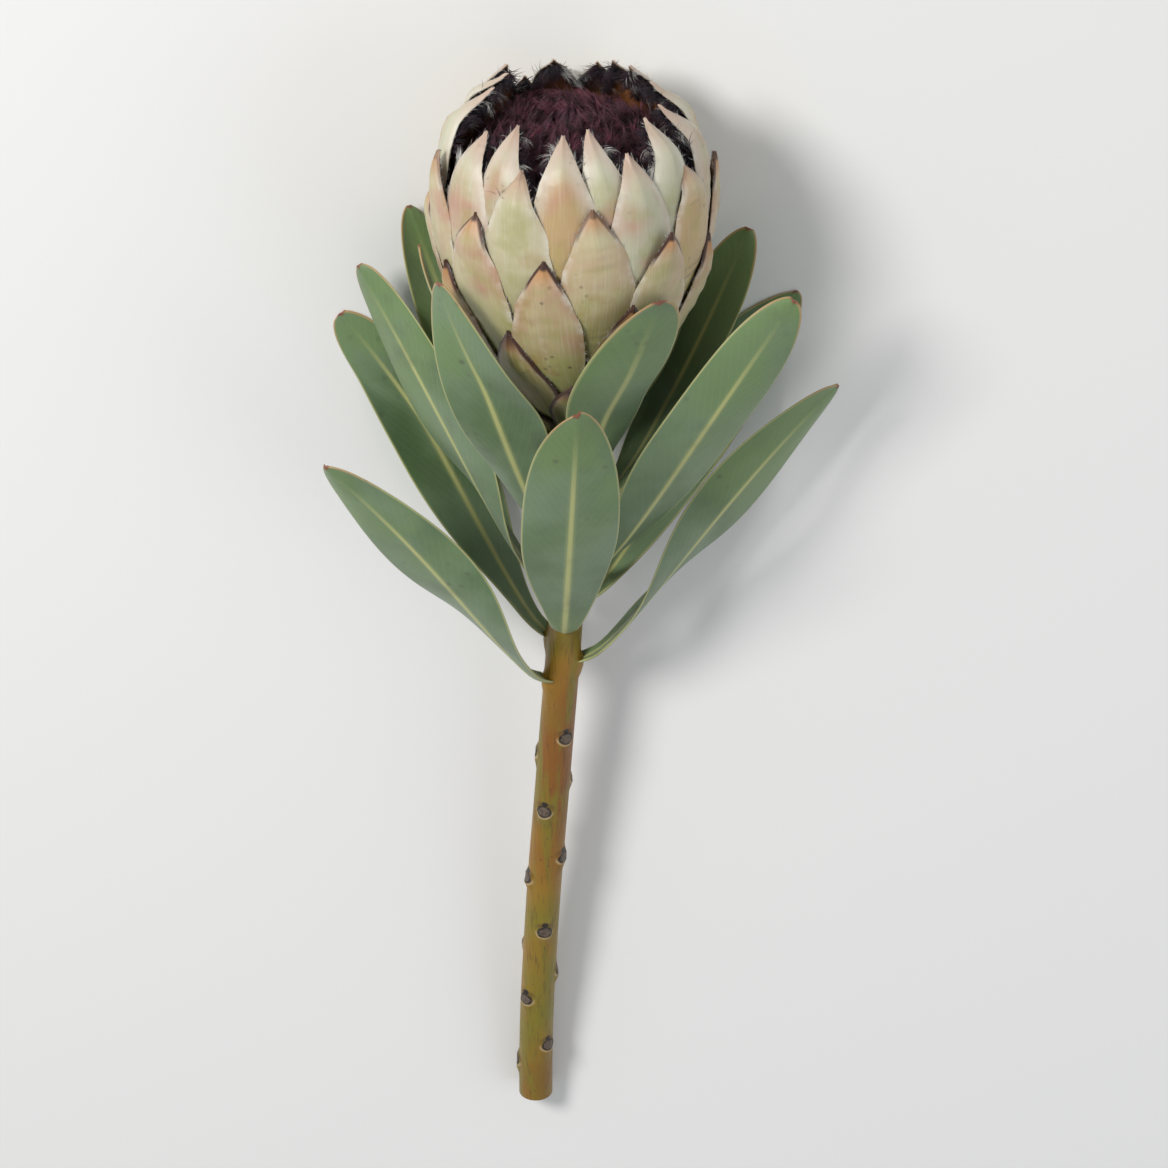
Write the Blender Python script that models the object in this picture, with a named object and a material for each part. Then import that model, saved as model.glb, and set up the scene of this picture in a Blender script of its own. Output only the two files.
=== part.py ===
# Queen protea, one cut stem lying on a surface. Metres, +Z up.
# +Y runs along the stem towards the flower head, and +X is to the right seen from above with the head
# away from the viewer. The origin is the flat spot that the head rests on.

import bisect
import math
import random

import bmesh
import bpy
from mathutils import Vector

BRACT_SEED = 11
LEAF_SEED = 24
GOLDEN_ANGLE = math.radians(137.508)
TOUCHING_GAP = 0.0003

# The woody stem, from its cut end to the neck under the head
STEM_LENGTH = 0.288
STEM_RADIUS = 0.0063
NECK_RADIUS = 0.0098
NECK_LENGTH = 0.030
STEM_END_TILT = math.radians(8.5)
STEM_SWAY = -0.014
STEM_CHORD_SHARE = 0.992
STEM_RINGS = 16
NECK_RINGS = 6
STEM_SIDES = 12

# The scars that stripped leaves left on the stem
SCARS = 16
SCAR_ZONE = (0.014, 0.172)
SCAR_HALF_WIDTH = 0.0027
SCAR_HALF_LENGTH = 0.0032
SCAR_STAND = 0.0011
SCAR_ROOT_SHARE = 0.45
SCAR_FOOT = (-0.35, 1.0, 0.0)
SCAR_CROWN = (1.0, 0.55, 0.35)
SCAR_SIDES = 6

# The flower head: (height above its base, radius) of the outline that its bracts follow
HEAD_TILT = math.radians(6.0)
HEAD_OUTLINE = (
    (0.0, 0.0112),
    (0.020, 0.0245),
    (0.045, 0.0398),
    (0.078, 0.0486),
    (0.105, 0.0462),
    (0.120, 0.0388),
    (0.132, 0.0270),
)
REST_BRACT = 21
REST_PRESS = 0.0006

# Bracts, numbered in one spiral from the lowest to the innermost
BRACTS = 48
BRACT_TIPS = (0.012, 0.1275)
BRACT_TIP_CROWDING = 2.3
BRACT_ROOTS = (0.0015, 0.0285)
BRACT_LAYER_STEP = 0.00019
BRACT_THICKNESS = 0.0008
BRACT_WIDTHS = ((0.0, 0.0170), (0.25, 0.0235), (0.55, 0.0260), (0.80, 0.0245), (1.0, 0.0210))
BRACT_TAPER_LENGTH = 0.034
BRACT_TAPER_SHARE = 0.80
BRACT_TIP_SHARPNESS = 1.12
BRACT_ROOT_SHARE = 0.55
BRACT_FULL_WIDTH_AT = 0.55
BRACT_TIP_WIDTH = 0.0012
BRACT_BULGE = 0.0006
BRACT_BULGE_RISE = (0.40, 0.70)
BRACT_FLARE = (-0.0009, 0.0022)
BRACT_FLARE_RISE = (0.75, 1.0)
BRACT_ROOT_SINK = 0.0022
BRACT_ROOT_RISE = (0.0, 0.15)
BRACT_TURN_PLAY = 0.04
BRACT_LENGTH_PLAY = 0.0015
BRACT_STATIONS = (0.0, 0.20, 0.42, 0.62, 0.80, 0.92, 1.0)
SMALL_BRACT_STATIONS = (0.0, 0.35, 0.70, 1.0)
SMALL_BRACT_SHARE = 0.20
BRACT_COLUMNS = (-1.0, -0.36, 0.36, 1.0)

# The receptacle that carries the bracts, and the mass of florets that stands on it
RECEPTACLE_SIDES = 24
RECEPTACLE_RINGS = 5
SEAT_HEIGHT = 0.0300
SEAT_RADIUS = 0.0185
MASS_CLEARANCE = 0.0042
DOME_CENTRE = 0.087
DOME_RADIUS = 0.0355
DOME_HEIGHT = 0.0310
DOME_FLORET_SHARE = 0.78
DOME_TOP = math.radians(1.0)
MASS_SIDES = 24
MASS_RINGS = 4
DOME_RINGS = 7
FLORETS = 96
FLORET_LENGTH = 0.0105
FLORET_RADIUS = 0.0025
FLORET_SINK = 0.0035
FLORET_LEAN = 1.25
FLORET_SHIFT = 0.7
FLORET_FOOT = (0.8, 0.0)
FLORET_SHOULDER = (1.0, 0.45)
FLORET_SIDES = 4

# Leaves, numbered in one spiral from the lowest to the one under the head
LEAVES = 14
LEAF_ZONE = (0.104, 0.006)
LEAF_TURN = math.radians(-54.0)
LEAF_LENGTHS = ((0.0, 0.132), (0.25, 0.144), (0.55, 0.130), (0.80, 0.104), (1.0, 0.082))
LEAF_WIDTHS = ((0.0, 0.031), (0.30, 0.034), (0.60, 0.031), (0.85, 0.025), (1.0, 0.019))
LEAF_LENGTH_PLAY = 0.05
LEAF_WIDEST_AT = 0.52
LEAF_WIDENING = 0.75
LEAF_BLUNTNESS = (2.4, 0.55)
LEAF_BASE_WIDTH = 0.0075
LEAF_TIP_WIDTH = 0.0024
LEAF_BASE_THICKNESS = 0.0020
LEAF_THICKNESS = 0.0010
LEAF_THINNED_AT = 0.25
LEAF_BASE_SPREAD = math.radians(52.0)
LEAF_OPENING_SHARE = 0.10
LEAF_SPREADS = ((0.0, math.radians(34.0)), (0.5, math.radians(26.0)), (1.0, math.radians(30.0)))
LEAF_SPREAD_PLAY = math.radians(4.0)
LEAF_RECURVE = ((0.0, math.radians(14.0)), (0.5, math.radians(3.0)), (1.0, math.radians(-22.0)))
LEAF_DROOP = 0.40
LEAF_SETTLE = 1.0
LEAF_SETTLED_AT = 0.85
LEAF_DRIFT_PLAY = 0.10
LEAF_TWIST_PLAY = 0.25
LEAF_CUP = 0.14
LEAF_WAVE = 0.0016
LEAF_WAVES = 9.0
LEAF_WAVE_SKEW = 1.3
LEAF_WAVE_FULL_AT = 0.30
LEAF_LOWEST_AZIMUTH = math.radians(138.0)
LEAF_HEAD_CLEARANCE = 0.0045
LEAF_LAYER_STEP = 0.0009
LEAF_STEPS = 40
LEAF_STATIONS = (0, 3, 7, 12, 18, 24, 30, 35, 38, 40)
LEAF_COLUMNS = (-1.0, -0.5, 0.0, 0.5, 1.0)
SOFT_CONTACT = 0.0015

# The block that stands for the ground when the head's rest spot is flattened
GROUND_SIZE = 0.4


def curve_through(points, x):
    """Value at x of a smooth curve through a few (x, value) points."""
    xs = [p[0] for p in points]
    ys = [p[1] for p in points]
    x = min(max(x, xs[0]), xs[-1])
    i = min(bisect.bisect_right(xs, x) - 1, len(xs) - 2)

    def slope(k):
        a, b = max(k - 1, 0), min(k + 1, len(xs) - 1)
        return (ys[b] - ys[a]) / (xs[b] - xs[a])

    span = xs[i + 1] - xs[i]
    t = (x - xs[i]) / span
    rise = ys[i + 1] - ys[i]
    return (
        ys[i]
        + rise * t * t * (3 - 2 * t)
        + span * (slope(i) * t * (1 - t) ** 2 - slope(i + 1) * t * t * (1 - t))
    )


def ease(t):
    """0 below 0, 1 above 1, and smooth between."""
    t = min(max(t, 0.0), 1.0)
    return t * t * (3 - 2 * t)


def ramp(x, start, end):
    return ease((x - start) / (end - start))


def at_least(value, floor):
    """value where it is above floor, and floor where it is below, with a soft bend between."""
    above = (value - floor) / SOFT_CONTACT
    return floor + SOFT_CONTACT * (max(above, 0.0) + math.log1p(math.exp(-abs(above))))


def outline(height):
    """Radius of the outline that the outermost bracts follow."""
    return curve_through(HEAD_OUTLINE, height)


def tip_height(share):
    """Height of a bract's tip, for its share of the way along the spiral."""
    low, high = BRACT_TIPS
    return low + (high - low) * (1 - (1 - share) ** BRACT_TIP_CROWDING)


def share_with_tip_at(height):
    low, high = BRACT_TIPS
    reach = min(max((height - low) / (high - low), 0.0), 1.0)
    return 1 - (1 - reach) ** (1 / BRACT_TIP_CROWDING)


def layered_radius(share, height):
    """Radius of a bract's middle at a height: each bract lies inside those whose tips are lower."""
    under = max(share - share_with_tip_at(height), 0.0)
    return outline(height) - BRACT_LAYER_STEP * (BRACTS - 1) * under


def rest_radius(height):
    """Radius of the outer face of the bract that the head rests on."""
    return layered_radius(REST_BRACT / (BRACTS - 1), height) + BRACT_BULGE + BRACT_THICKNESS / 2


# The head's axis rises towards its tip. Its lowest point lies pressed flat on z = 0, at the origin.
HEAD_AXIS = Vector((0.0, math.cos(HEAD_TILT), math.sin(HEAD_TILT)))
REST_STEPS = 400
REST_HEIGHT_IN_HEAD = max(
    (HEAD_OUTLINE[-1][0] * k / REST_STEPS for k in range(REST_STEPS)),
    key=lambda h: rest_radius(h) * math.cos(HEAD_TILT) - h * math.sin(HEAD_TILT),
)
HEAD_BASE = (
    Vector((0.0, 0.0, -REST_PRESS))
    + rest_radius(REST_HEIGHT_IN_HEAD) * Vector((0.0, -math.sin(HEAD_TILT), math.cos(HEAD_TILT)))
    - REST_HEIGHT_IN_HEAD * HEAD_AXIS
)
STEM_FLAT_SIDE = STEM_RADIUS * math.cos(math.pi / STEM_SIDES)
CUT_END = Vector((STEM_SWAY, HEAD_BASE.y - STEM_LENGTH * STEM_CHORD_SHARE, STEM_FLAT_SIDE * math.cos(STEM_END_TILT)))
STEM_HANDLES = (
    CUT_END,
    CUT_END + Vector((0.0, math.cos(STEM_END_TILT), math.sin(STEM_END_TILT))) * STEM_LENGTH / 3,
    HEAD_BASE - HEAD_AXIS * STEM_LENGTH / 3,
    HEAD_BASE,
)


def axis_at(distance):
    """(point, along, up, right) on the plant's centre line, at a distance from the cut end. Past the head's
    base the line is straight."""
    a, b, c, d = STEM_HANDLES
    t = min(max(distance / STEM_LENGTH, 0.0), 1.0)
    point = a * (1 - t) ** 3 + b * 3 * t * (1 - t) ** 2 + c * 3 * t * t * (1 - t) + d * t**3
    along = ((b - a) * (1 - t) ** 2 + (c - b) * 2 * t * (1 - t) + (d - c) * t * t).normalized()
    if distance > STEM_LENGTH:
        point = point + along * (distance - STEM_LENGTH)
    right = along.cross(Vector((0.0, 0.0, 1.0))).normalized()
    return point, along, right.cross(along), right


def round_point(distance, azimuth, radius):
    """A point round the centre line. Azimuth 0 is upwards, and a quarter turn is to the right."""
    point, _, up, right = axis_at(distance)
    return point + (up * math.cos(azimuth) + right * math.sin(azimuth)) * radius


def head_point(height, azimuth, radius):
    return round_point(STEM_LENGTH + height, azimuth, radius)


def stem_radius(distance):
    neck = ramp(distance, STEM_LENGTH - NECK_LENGTH, STEM_LENGTH)
    return STEM_RADIUS + (NECK_RADIUS - STEM_RADIUS) * neck


def finish_colour(name, colour, roughness):
    material = bpy.data.materials.new(name)
    material.use_nodes = True
    shader = material.node_tree.nodes["Principled BSDF"]
    shader.inputs["Base Color"].default_value = (*colour, 1.0)
    shader.inputs["Roughness"].default_value = roughness
    shader.inputs["Metallic"].default_value = 0.0
    return material


def mesh_object(name, points, faces, material=None):
    """An object whose faces point outwards."""
    mesh = bpy.data.meshes.new(name)
    mesh.from_pydata([tuple(p) for p in points], [], faces)
    work = bmesh.new()
    work.from_mesh(mesh)
    bmesh.ops.recalc_face_normals(work, faces=work.faces)
    work.to_mesh(mesh)
    work.free()
    obj = bpy.data.objects.new(name, mesh)
    bpy.context.scene.collection.objects.link(obj)
    if material:
        mesh.materials.append(material)
    return obj


def blade(name, rows, thickness_at, material=None):
    """A thin closed blade round a grid of middle points. rows run from the root to the tip, and both faces
    are split into triangles alike."""
    across = len(rows[0])
    last_row, last_column = len(rows) - 1, across - 1
    near, far = [], []
    for i, row in enumerate(rows):
        for j, middle in enumerate(row):
            lengthwise = rows[min(i + 1, last_row)][j] - rows[max(i - 1, 0)][j]
            sideways = row[min(j + 1, last_column)] - row[max(j - 1, 0)]
            half = lengthwise.cross(sideways).normalized() * thickness_at(i, j) / 2
            near.append(middle + half)
            far.append(middle - half)
    count = len(near)
    faces = []
    for i in range(last_row):
        for j in range(last_column):
            a = i * across + j
            for corners in ((a, a + 1, a + across + 1), (a, a + across + 1, a + across)):
                faces.append(corners)
                faces.append(tuple(count + c for c in reversed(corners)))
    rim = list(range(across))
    rim += [i * across + last_column for i in range(1, last_row + 1)]
    rim += [last_row * across + j for j in range(last_column - 1, -1, -1)]
    rim += [i * across for i in range(last_row - 1, 0, -1)]
    for a, b in zip(rim, rim[1:] + rim[:1]):
        faces.append((a, b, count + b))
        faces.append((a, count + b, count + a))
    return mesh_object(name, near + far, faces, material)


def turned(name, profile, sides, material=None):
    """A solid turned round the head's axis, from (height, radius) points."""
    points = [
        head_point(height, 2 * math.pi * k / sides, radius) for height, radius in profile for k in range(sides)
    ]
    faces = [tuple(range(sides)), tuple((len(profile) - 1) * sides + k for k in range(sides))]
    for ring in range(len(profile) - 1):
        for k in range(sides):
            a, b = ring * sides + k, ring * sides + (k + 1) % sides
            faces.append((a, b, b + sides, a + sides))
    return mesh_object(name, points, faces, material)


def keep_largest_body(mesh):
    """Drops the scraps and sealed hollows that joining can leave."""
    work = bmesh.new()
    work.from_mesh(mesh)
    bmesh.ops.triangulate(work, faces=work.faces)
    bmesh.ops.remove_doubles(work, verts=work.verts, dist=1e-6)
    bmesh.ops.dissolve_degenerate(work, edges=work.edges, dist=1e-6)
    seen, bodies = set(), []
    for start in work.faces:
        if start in seen:
            continue
        body, waiting = [], [start]
        seen.add(start)
        while waiting:
            face = waiting.pop()
            body.append(face)
            for edge in face.edges:
                for other in edge.link_faces:
                    if other not in seen:
                        seen.add(other)
                        waiting.append(other)
        bodies.append(body)
    largest = max(bodies, key=len)
    scraps = [face for body in bodies if body is not largest for face in body]
    bmesh.ops.delete(work, geom=scraps, context="FACES")
    work.to_mesh(mesh)
    work.free()


def apply_boolean(body, operation, solver, **operand):
    modifier = body.modifiers.new("join", "BOOLEAN")
    modifier.operation = operation
    modifier.solver = solver
    for setting, value in operand.items():
        setattr(modifier, setting, value)
    bpy.context.view_layer.objects.active = body
    bpy.ops.object.modifier_apply(modifier=modifier.name)


def join_solids(body, repeats, solver="EXACT"):
    """Joins the repeats to the body that they grow from, and removes them."""
    group = bpy.data.collections.new(body.name + "_repeats")
    for obj in repeats:
        group.objects.link(obj)
    apply_boolean(body, "UNION", solver, operand_type="COLLECTION", collection=group)
    for obj in repeats:
        bpy.data.objects.remove(obj)
    bpy.data.collections.remove(group)
    keep_largest_body(body.data)
    return body


def stem(material):
    straight = STEM_LENGTH - NECK_LENGTH
    rings = [straight * k / STEM_RINGS for k in range(STEM_RINGS)]
    rings += [straight + (NECK_LENGTH - TOUCHING_GAP) * k / NECK_RINGS for k in range(NECK_RINGS + 1)]
    points, faces = [], []
    for distance in rings:
        for k in range(STEM_SIDES):
            points.append(round_point(distance, 2 * math.pi * (k + 0.5) / STEM_SIDES, stem_radius(distance)))
    for ring in range(len(rings) - 1):
        for k in range(STEM_SIDES):
            a, b = ring * STEM_SIDES + k, ring * STEM_SIDES + (k + 1) % STEM_SIDES
            faces.append((a, b, b + STEM_SIDES, a + STEM_SIDES))
    faces.append(tuple(range(STEM_SIDES)))
    faces.append(tuple((len(rings) - 1) * STEM_SIDES + k for k in range(STEM_SIDES)))
    body = mesh_object("stem", points, faces, material)
    return join_solids(body, [leaf_scar(number) for number in range(SCARS)])


def leaf_scar(number):
    """The raised cushion under a fallen leaf. It stands out most at its upper end and slopes away below."""
    low, high = SCAR_ZONE
    distance = low + (high - low) * number / (SCARS - 1)
    azimuth = LEAF_TURN - GOLDEN_ANGLE * (SCARS - number)
    radius = stem_radius(distance)
    points = [round_point(distance, azimuth, radius * SCAR_ROOT_SHARE)]
    for stand, size, lift in (SCAR_FOOT, SCAR_CROWN):
        for k in range(SCAR_SIDES):
            turn = 2 * math.pi * k / SCAR_SIDES
            along = SCAR_HALF_LENGTH * (size * math.cos(turn) + lift)
            sideways = SCAR_HALF_WIDTH * size * math.sin(turn)
            points.append(
                round_point(distance + along, azimuth + sideways / radius, radius + stand * SCAR_STAND)
            )
    faces = []
    for k in range(SCAR_SIDES):
        a, b = 1 + k, 1 + (k + 1) % SCAR_SIDES
        faces.append((0, b, a))
        faces.append((a, b, b + SCAR_SIDES, a + SCAR_SIDES))
    faces.append(tuple(1 + SCAR_SIDES + k for k in range(SCAR_SIDES)))
    return mesh_object(f"scar_{number}", points, faces)


def bract_half_width(share, length, along):
    """Half width at a share of the way from the root to the pointed tip."""
    widest = curve_through(BRACT_WIDTHS, share) / 2
    taper = min(BRACT_TAPER_LENGTH, BRACT_TAPER_SHARE * length)
    from_tip = min((1 - along) * length / taper, 1.0)
    pointed = (1 - (1 - from_tip) ** 2) ** BRACT_TIP_SHARPNESS
    rooted = BRACT_ROOT_SHARE + (1 - BRACT_ROOT_SHARE) * ramp(along, 0.0, BRACT_FULL_WIDTH_AT)
    return max(widest * pointed * rooted, BRACT_TIP_WIDTH / 2)


def bract_azimuth(number):
    """Azimuth in the spiral, turned so that the bract that the head rests on is at the bottom."""
    return math.pi + (number - REST_BRACT) * GOLDEN_ANGLE


def bract(number, chance):
    share = number / (BRACTS - 1)
    azimuth = bract_azimuth(number) + chance.uniform(-1, 1) * BRACT_TURN_PLAY
    tip = tip_height(share) + chance.uniform(-1, 1) * BRACT_LENGTH_PLAY
    low, high = BRACT_ROOTS
    root = low + (high - low) * share
    flare = chance.uniform(*BRACT_FLARE)
    rows = []
    for along in SMALL_BRACT_STATIONS if share < SMALL_BRACT_SHARE else BRACT_STATIONS:
        height = root + (tip - root) * along
        half_width = bract_half_width(share, tip - root, along)
        middle = layered_radius(share, height)
        middle += flare * ramp(along, *BRACT_FLARE_RISE)
        middle -= BRACT_ROOT_SINK * (1 - ramp(along, *BRACT_ROOT_RISE))
        row = []
        for column in BRACT_COLUMNS:
            radius = middle + BRACT_BULGE * (1 - column * column) * ramp(along, *BRACT_BULGE_RISE)
            row.append(head_point(height, azimuth + column * half_width / middle, radius))
        rows.append(row)
    return blade(f"bract_{number}", rows, lambda i, j: BRACT_THICKNESS)


def receptacle_radius(height):
    """The receptacle just reaches the middle of the bracts that root at this height."""
    low, high = BRACT_ROOTS
    share = min(max((height - low) / (high - low), 0.0), 1.0)
    return layered_radius(share, height)


def flatten_rest_spot(body):
    """Takes off what would lie below the surface, which leaves the flat spot that the head rests on."""
    bpy.ops.mesh.primitive_cube_add(size=GROUND_SIZE, location=(0.0, 0.0, -GROUND_SIZE / 2))
    ground = bpy.context.object
    apply_boolean(body, "DIFFERENCE", "MANIFOLD", object=ground)
    bpy.data.objects.remove(ground)


def bracts(material):
    """The overlapping bracts on their receptacle. So many thin blades need the MANIFOLD solver."""
    heights = [SEAT_HEIGHT * k / RECEPTACLE_RINGS for k in range(RECEPTACLE_RINGS + 1)]
    profile = [(height, receptacle_radius(height)) for height in heights]
    body = turned("bracts", profile, RECEPTACLE_SIDES, material)
    chance = random.Random(BRACT_SEED)
    join_solids(body, [bract(number, chance) for number in range(BRACTS)], solver="MANIFOLD")
    flatten_rest_spot(body)
    return body


def dome_point(polar):
    """(height, radius) on the dome, from 0 at its top to a quarter turn at its widest."""
    return DOME_CENTRE + DOME_HEIGHT * math.cos(polar), DOME_RADIUS * math.sin(polar)


def floret(number):
    """The pointed end of one bud, which leans along the dome towards its top."""
    polar = math.acos(1 - DOME_FLORET_SHARE * (number + FLORET_SHIFT) / FLORETS)
    azimuth = number * GOLDEN_ANGLE
    height, radius = dome_point(polar)
    outwards = Vector((math.cos(polar) / DOME_HEIGHT, math.sin(polar) / DOME_RADIUS)).normalized()
    upwards = Vector((outwards.y, -outwards.x))
    lean = (outwards + upwards * FLORET_LEAN).normalized()
    middle = Vector((height, radius)) - lean * FLORET_SINK
    points = []
    for size, run in (FLORET_FOOT, FLORET_SHOULDER):
        for k in range(FLORET_SIDES):
            turn = 2 * math.pi * (k + 0.5) / FLORET_SIDES
            across = Vector((-lean.y, lean.x)) * math.cos(turn) * FLORET_RADIUS * size
            h, r = middle + lean * run * FLORET_LENGTH + across
            _, _, up, right = axis_at(STEM_LENGTH + h)
            sideways = (right * math.cos(azimuth) - up * math.sin(azimuth)) * math.sin(turn)
            points.append(head_point(h, azimuth, r) + sideways * FLORET_RADIUS * size)
    h, r = middle + lean * FLORET_LENGTH
    points.append(head_point(h, azimuth, r))
    faces = [tuple(range(FLORET_SIDES))]
    for k in range(FLORET_SIDES):
        a, b = k, (k + 1) % FLORET_SIDES
        faces.append((a, b, b + FLORET_SIDES, a + FLORET_SIDES))
        faces.append((a + FLORET_SIDES, b + FLORET_SIDES, 2 * FLORET_SIDES))
    return mesh_object(f"floret_{number}", points, faces)


def flower_mass(material):
    """The florets pressed together, which stand on the receptacle inside the bracts and end in a dome."""
    seat = SEAT_HEIGHT + TOUCHING_GAP
    profile = [(seat, SEAT_RADIUS)]
    for k in range(1, MASS_RINGS):
        height = seat + (DOME_CENTRE - seat) * k / MASS_RINGS
        inside = layered_radius(1.0, height) - MASS_CLEARANCE
        profile.append((height, min(inside, DOME_RADIUS)))
    for k in range(DOME_RINGS):
        profile.append(dome_point(math.pi / 2 * (1 - k / DOME_RINGS)))
    profile.append(dome_point(DOME_TOP))
    body = turned("flower_mass", profile, MASS_SIDES, material)
    return join_solids(body, [floret(number) for number in range(FLORETS)])


def leaf_azimuth(number):
    """Azimuth in the spiral. The surface pushes leaves that point down out to the sides."""
    turn = (LEAF_TURN + number * GOLDEN_ANGLE + math.pi) % (2 * math.pi) - math.pi
    size = abs(turn)
    side = math.pi / 2
    if size > side:
        size = side + (size - side) * (LEAF_LOWEST_AZIMUTH - side) / (math.pi - side)
    return math.copysign(size, turn)


def leaf_half_width(share, along):
    """Half width from the narrow clasping base to the blunt tip."""
    widest = curve_through(LEAF_WIDTHS, share)
    widening = LEAF_BASE_WIDTH + (widest - LEAF_BASE_WIDTH) * ramp(along, 0.0, LEAF_WIDEST_AT) ** LEAF_WIDENING
    to_tip = max((along - LEAF_WIDEST_AT) / (1 - LEAF_WIDEST_AT), 0.0)
    fullness, roundness = LEAF_BLUNTNESS
    return max(widening * (1 - to_tip**fullness) ** roundness, LEAF_TIP_WIDTH) / 2


def clear_of_head(point, number):
    """The point, moved away from the head's axis where it would touch the bracts or a leaf above it."""
    height = (point - HEAD_BASE).dot(HEAD_AXIS)
    if not 0 <= height <= HEAD_OUTLINE[-1][0]:
        return point
    on_axis = HEAD_BASE + HEAD_AXIS * height
    away = point - on_axis
    layer = LEAF_LAYER_STEP * (LEAVES - 1 - number)
    reach = at_least(away.length, outline(height) + LEAF_HEAD_CLEARANCE + layer)
    return on_axis + away.normalized() * reach


def leaf_frames(number, chance):
    """(middle, across, normal) at each step from the base of a leaf to its tip."""
    share = number / (LEAVES - 1)
    length = curve_through(LEAF_LENGTHS, share) * (1 + chance.uniform(-1, 1) * LEAF_LENGTH_PLAY)
    attach = STEM_LENGTH - LEAF_ZONE[0] - (LEAF_ZONE[1] - LEAF_ZONE[0]) * share
    azimuth = leaf_azimuth(number)
    drift = chance.uniform(-1, 1) * LEAF_DRIFT_PLAY
    twist = chance.uniform(-1, 1) * LEAF_TWIST_PLAY
    spread = curve_through(LEAF_SPREADS, share) + chance.uniform(-1, 1) * LEAF_SPREAD_PLAY
    recurve = curve_through(LEAF_RECURVE, share)
    start, along_stem, up, right = axis_at(attach)
    reach = stem_radius(attach) + TOUCHING_GAP + LEAF_BASE_THICKNESS / 2 * math.cos(LEAF_BASE_SPREAD)
    middle = start + (up * math.cos(azimuth) + right * math.sin(azimuth)) * reach
    settled_side = math.copysign(1.0, math.cos(azimuth))
    frames = []
    for step in range(LEAF_STEPS + 1):
        along = step / LEAF_STEPS
        turn = azimuth + drift * along
        outwards = up * math.cos(turn) + right * math.sin(turn)
        opened = 1 - math.exp(-along / LEAF_OPENING_SHARE)
        angle = LEAF_BASE_SPREAD + (spread - LEAF_BASE_SPREAD) * opened + recurve * along * along
        forwards = along_stem * math.cos(angle) + outwards * math.sin(angle)
        forwards = (forwards - Vector((0.0, 0.0, LEAF_DROOP * along))).normalized()
        middle = middle + forwards * length / LEAF_STEPS * (step > 0)
        settled = settled_side * LEAF_SETTLE * ramp(along, 0.0, LEAF_SETTLED_AT)
        towards = outwards + Vector((0.0, 0.0, settled))
        back = (towards - forwards * towards.dot(forwards)).normalized()
        flat = back.cross(forwards)
        roll = twist * along
        across = flat * math.cos(roll) + back * math.sin(roll)
        frames.append((middle, across, forwards.cross(across)))
    return frames


def leaf(number, material, chance):
    """A leaf blade: channelled along its middle, waved at its edges, and lifted clear of what it meets."""
    share = number / (LEAVES - 1)
    frames = leaf_frames(number, chance)
    wave_phase = chance.uniform(0, 2 * math.pi)
    rows = []
    for station in LEAF_STATIONS:
        along = station / LEAF_STEPS
        middle, across, normal = frames[station]
        half_width = leaf_half_width(share, along)
        row = []
        for column in LEAF_COLUMNS:
            wave = math.sin(LEAF_WAVES * along + wave_phase + LEAF_WAVE_SKEW * column)
            wave *= LEAF_WAVE * ramp(along, 0.0, LEAF_WAVE_FULL_AT)
            lift = (wave - LEAF_CUP * half_width) * column * column
            point = clear_of_head(middle + across * half_width * column + normal * lift, number)
            point.z = at_least(point.z, LEAF_THICKNESS / 2)
            row.append(point)
        rows.append(row)

    def thickness_at(i, j):
        thicker = (LEAF_BASE_THICKNESS - LEAF_THICKNESS) * (1 - LEAF_COLUMNS[j] ** 2 / 2)
        return LEAF_THICKNESS + thicker * (1 - ramp(LEAF_STATIONS[i] / LEAF_STEPS, 0.0, LEAF_THINNED_AT))

    return blade(f"leaf_{number + 1:02d}", rows, thickness_at, material)


def build():
    for obj in list(bpy.data.objects):
        bpy.data.objects.remove(obj)
    stem(finish_colour("stem_bark", (0.36, 0.24, 0.06), 0.55))
    bracts(finish_colour("bract_cream", (0.78, 0.72, 0.58), 0.45))
    flower_mass(finish_colour("floret_wool", (0.075, 0.018, 0.035), 0.9))
    leaf_green = finish_colour("leaf_green", (0.20, 0.30, 0.19), 0.5)
    chance = random.Random(LEAF_SEED)
    for number in range(LEAVES):
        leaf(number, leaf_green, chance)


build()
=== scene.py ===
# Queen protea, one cut stem lying on a plain surface. Metres, +Z up, and +Y towards the flower head.

import bisect
import collections
import functools
import math
import random

import bpy
import numpy as np
from mathutils import Matrix, Vector


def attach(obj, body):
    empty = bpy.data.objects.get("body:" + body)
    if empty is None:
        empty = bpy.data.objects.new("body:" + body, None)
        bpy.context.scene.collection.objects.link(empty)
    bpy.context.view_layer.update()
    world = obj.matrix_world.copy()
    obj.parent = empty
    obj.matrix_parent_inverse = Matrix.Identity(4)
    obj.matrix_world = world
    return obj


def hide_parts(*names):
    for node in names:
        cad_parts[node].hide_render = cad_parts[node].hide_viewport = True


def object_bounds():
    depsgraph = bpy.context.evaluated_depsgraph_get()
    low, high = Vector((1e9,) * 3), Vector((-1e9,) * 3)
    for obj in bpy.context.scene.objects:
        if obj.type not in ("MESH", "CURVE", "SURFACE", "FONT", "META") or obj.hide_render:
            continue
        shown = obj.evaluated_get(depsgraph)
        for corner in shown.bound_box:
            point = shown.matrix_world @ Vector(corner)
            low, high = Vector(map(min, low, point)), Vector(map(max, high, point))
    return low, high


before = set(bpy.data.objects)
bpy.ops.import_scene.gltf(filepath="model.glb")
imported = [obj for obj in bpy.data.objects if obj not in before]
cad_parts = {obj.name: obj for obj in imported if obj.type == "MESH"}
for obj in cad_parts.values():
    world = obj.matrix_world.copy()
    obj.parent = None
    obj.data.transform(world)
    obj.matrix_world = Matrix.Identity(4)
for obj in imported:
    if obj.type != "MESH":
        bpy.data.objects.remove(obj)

cad_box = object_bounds()


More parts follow.
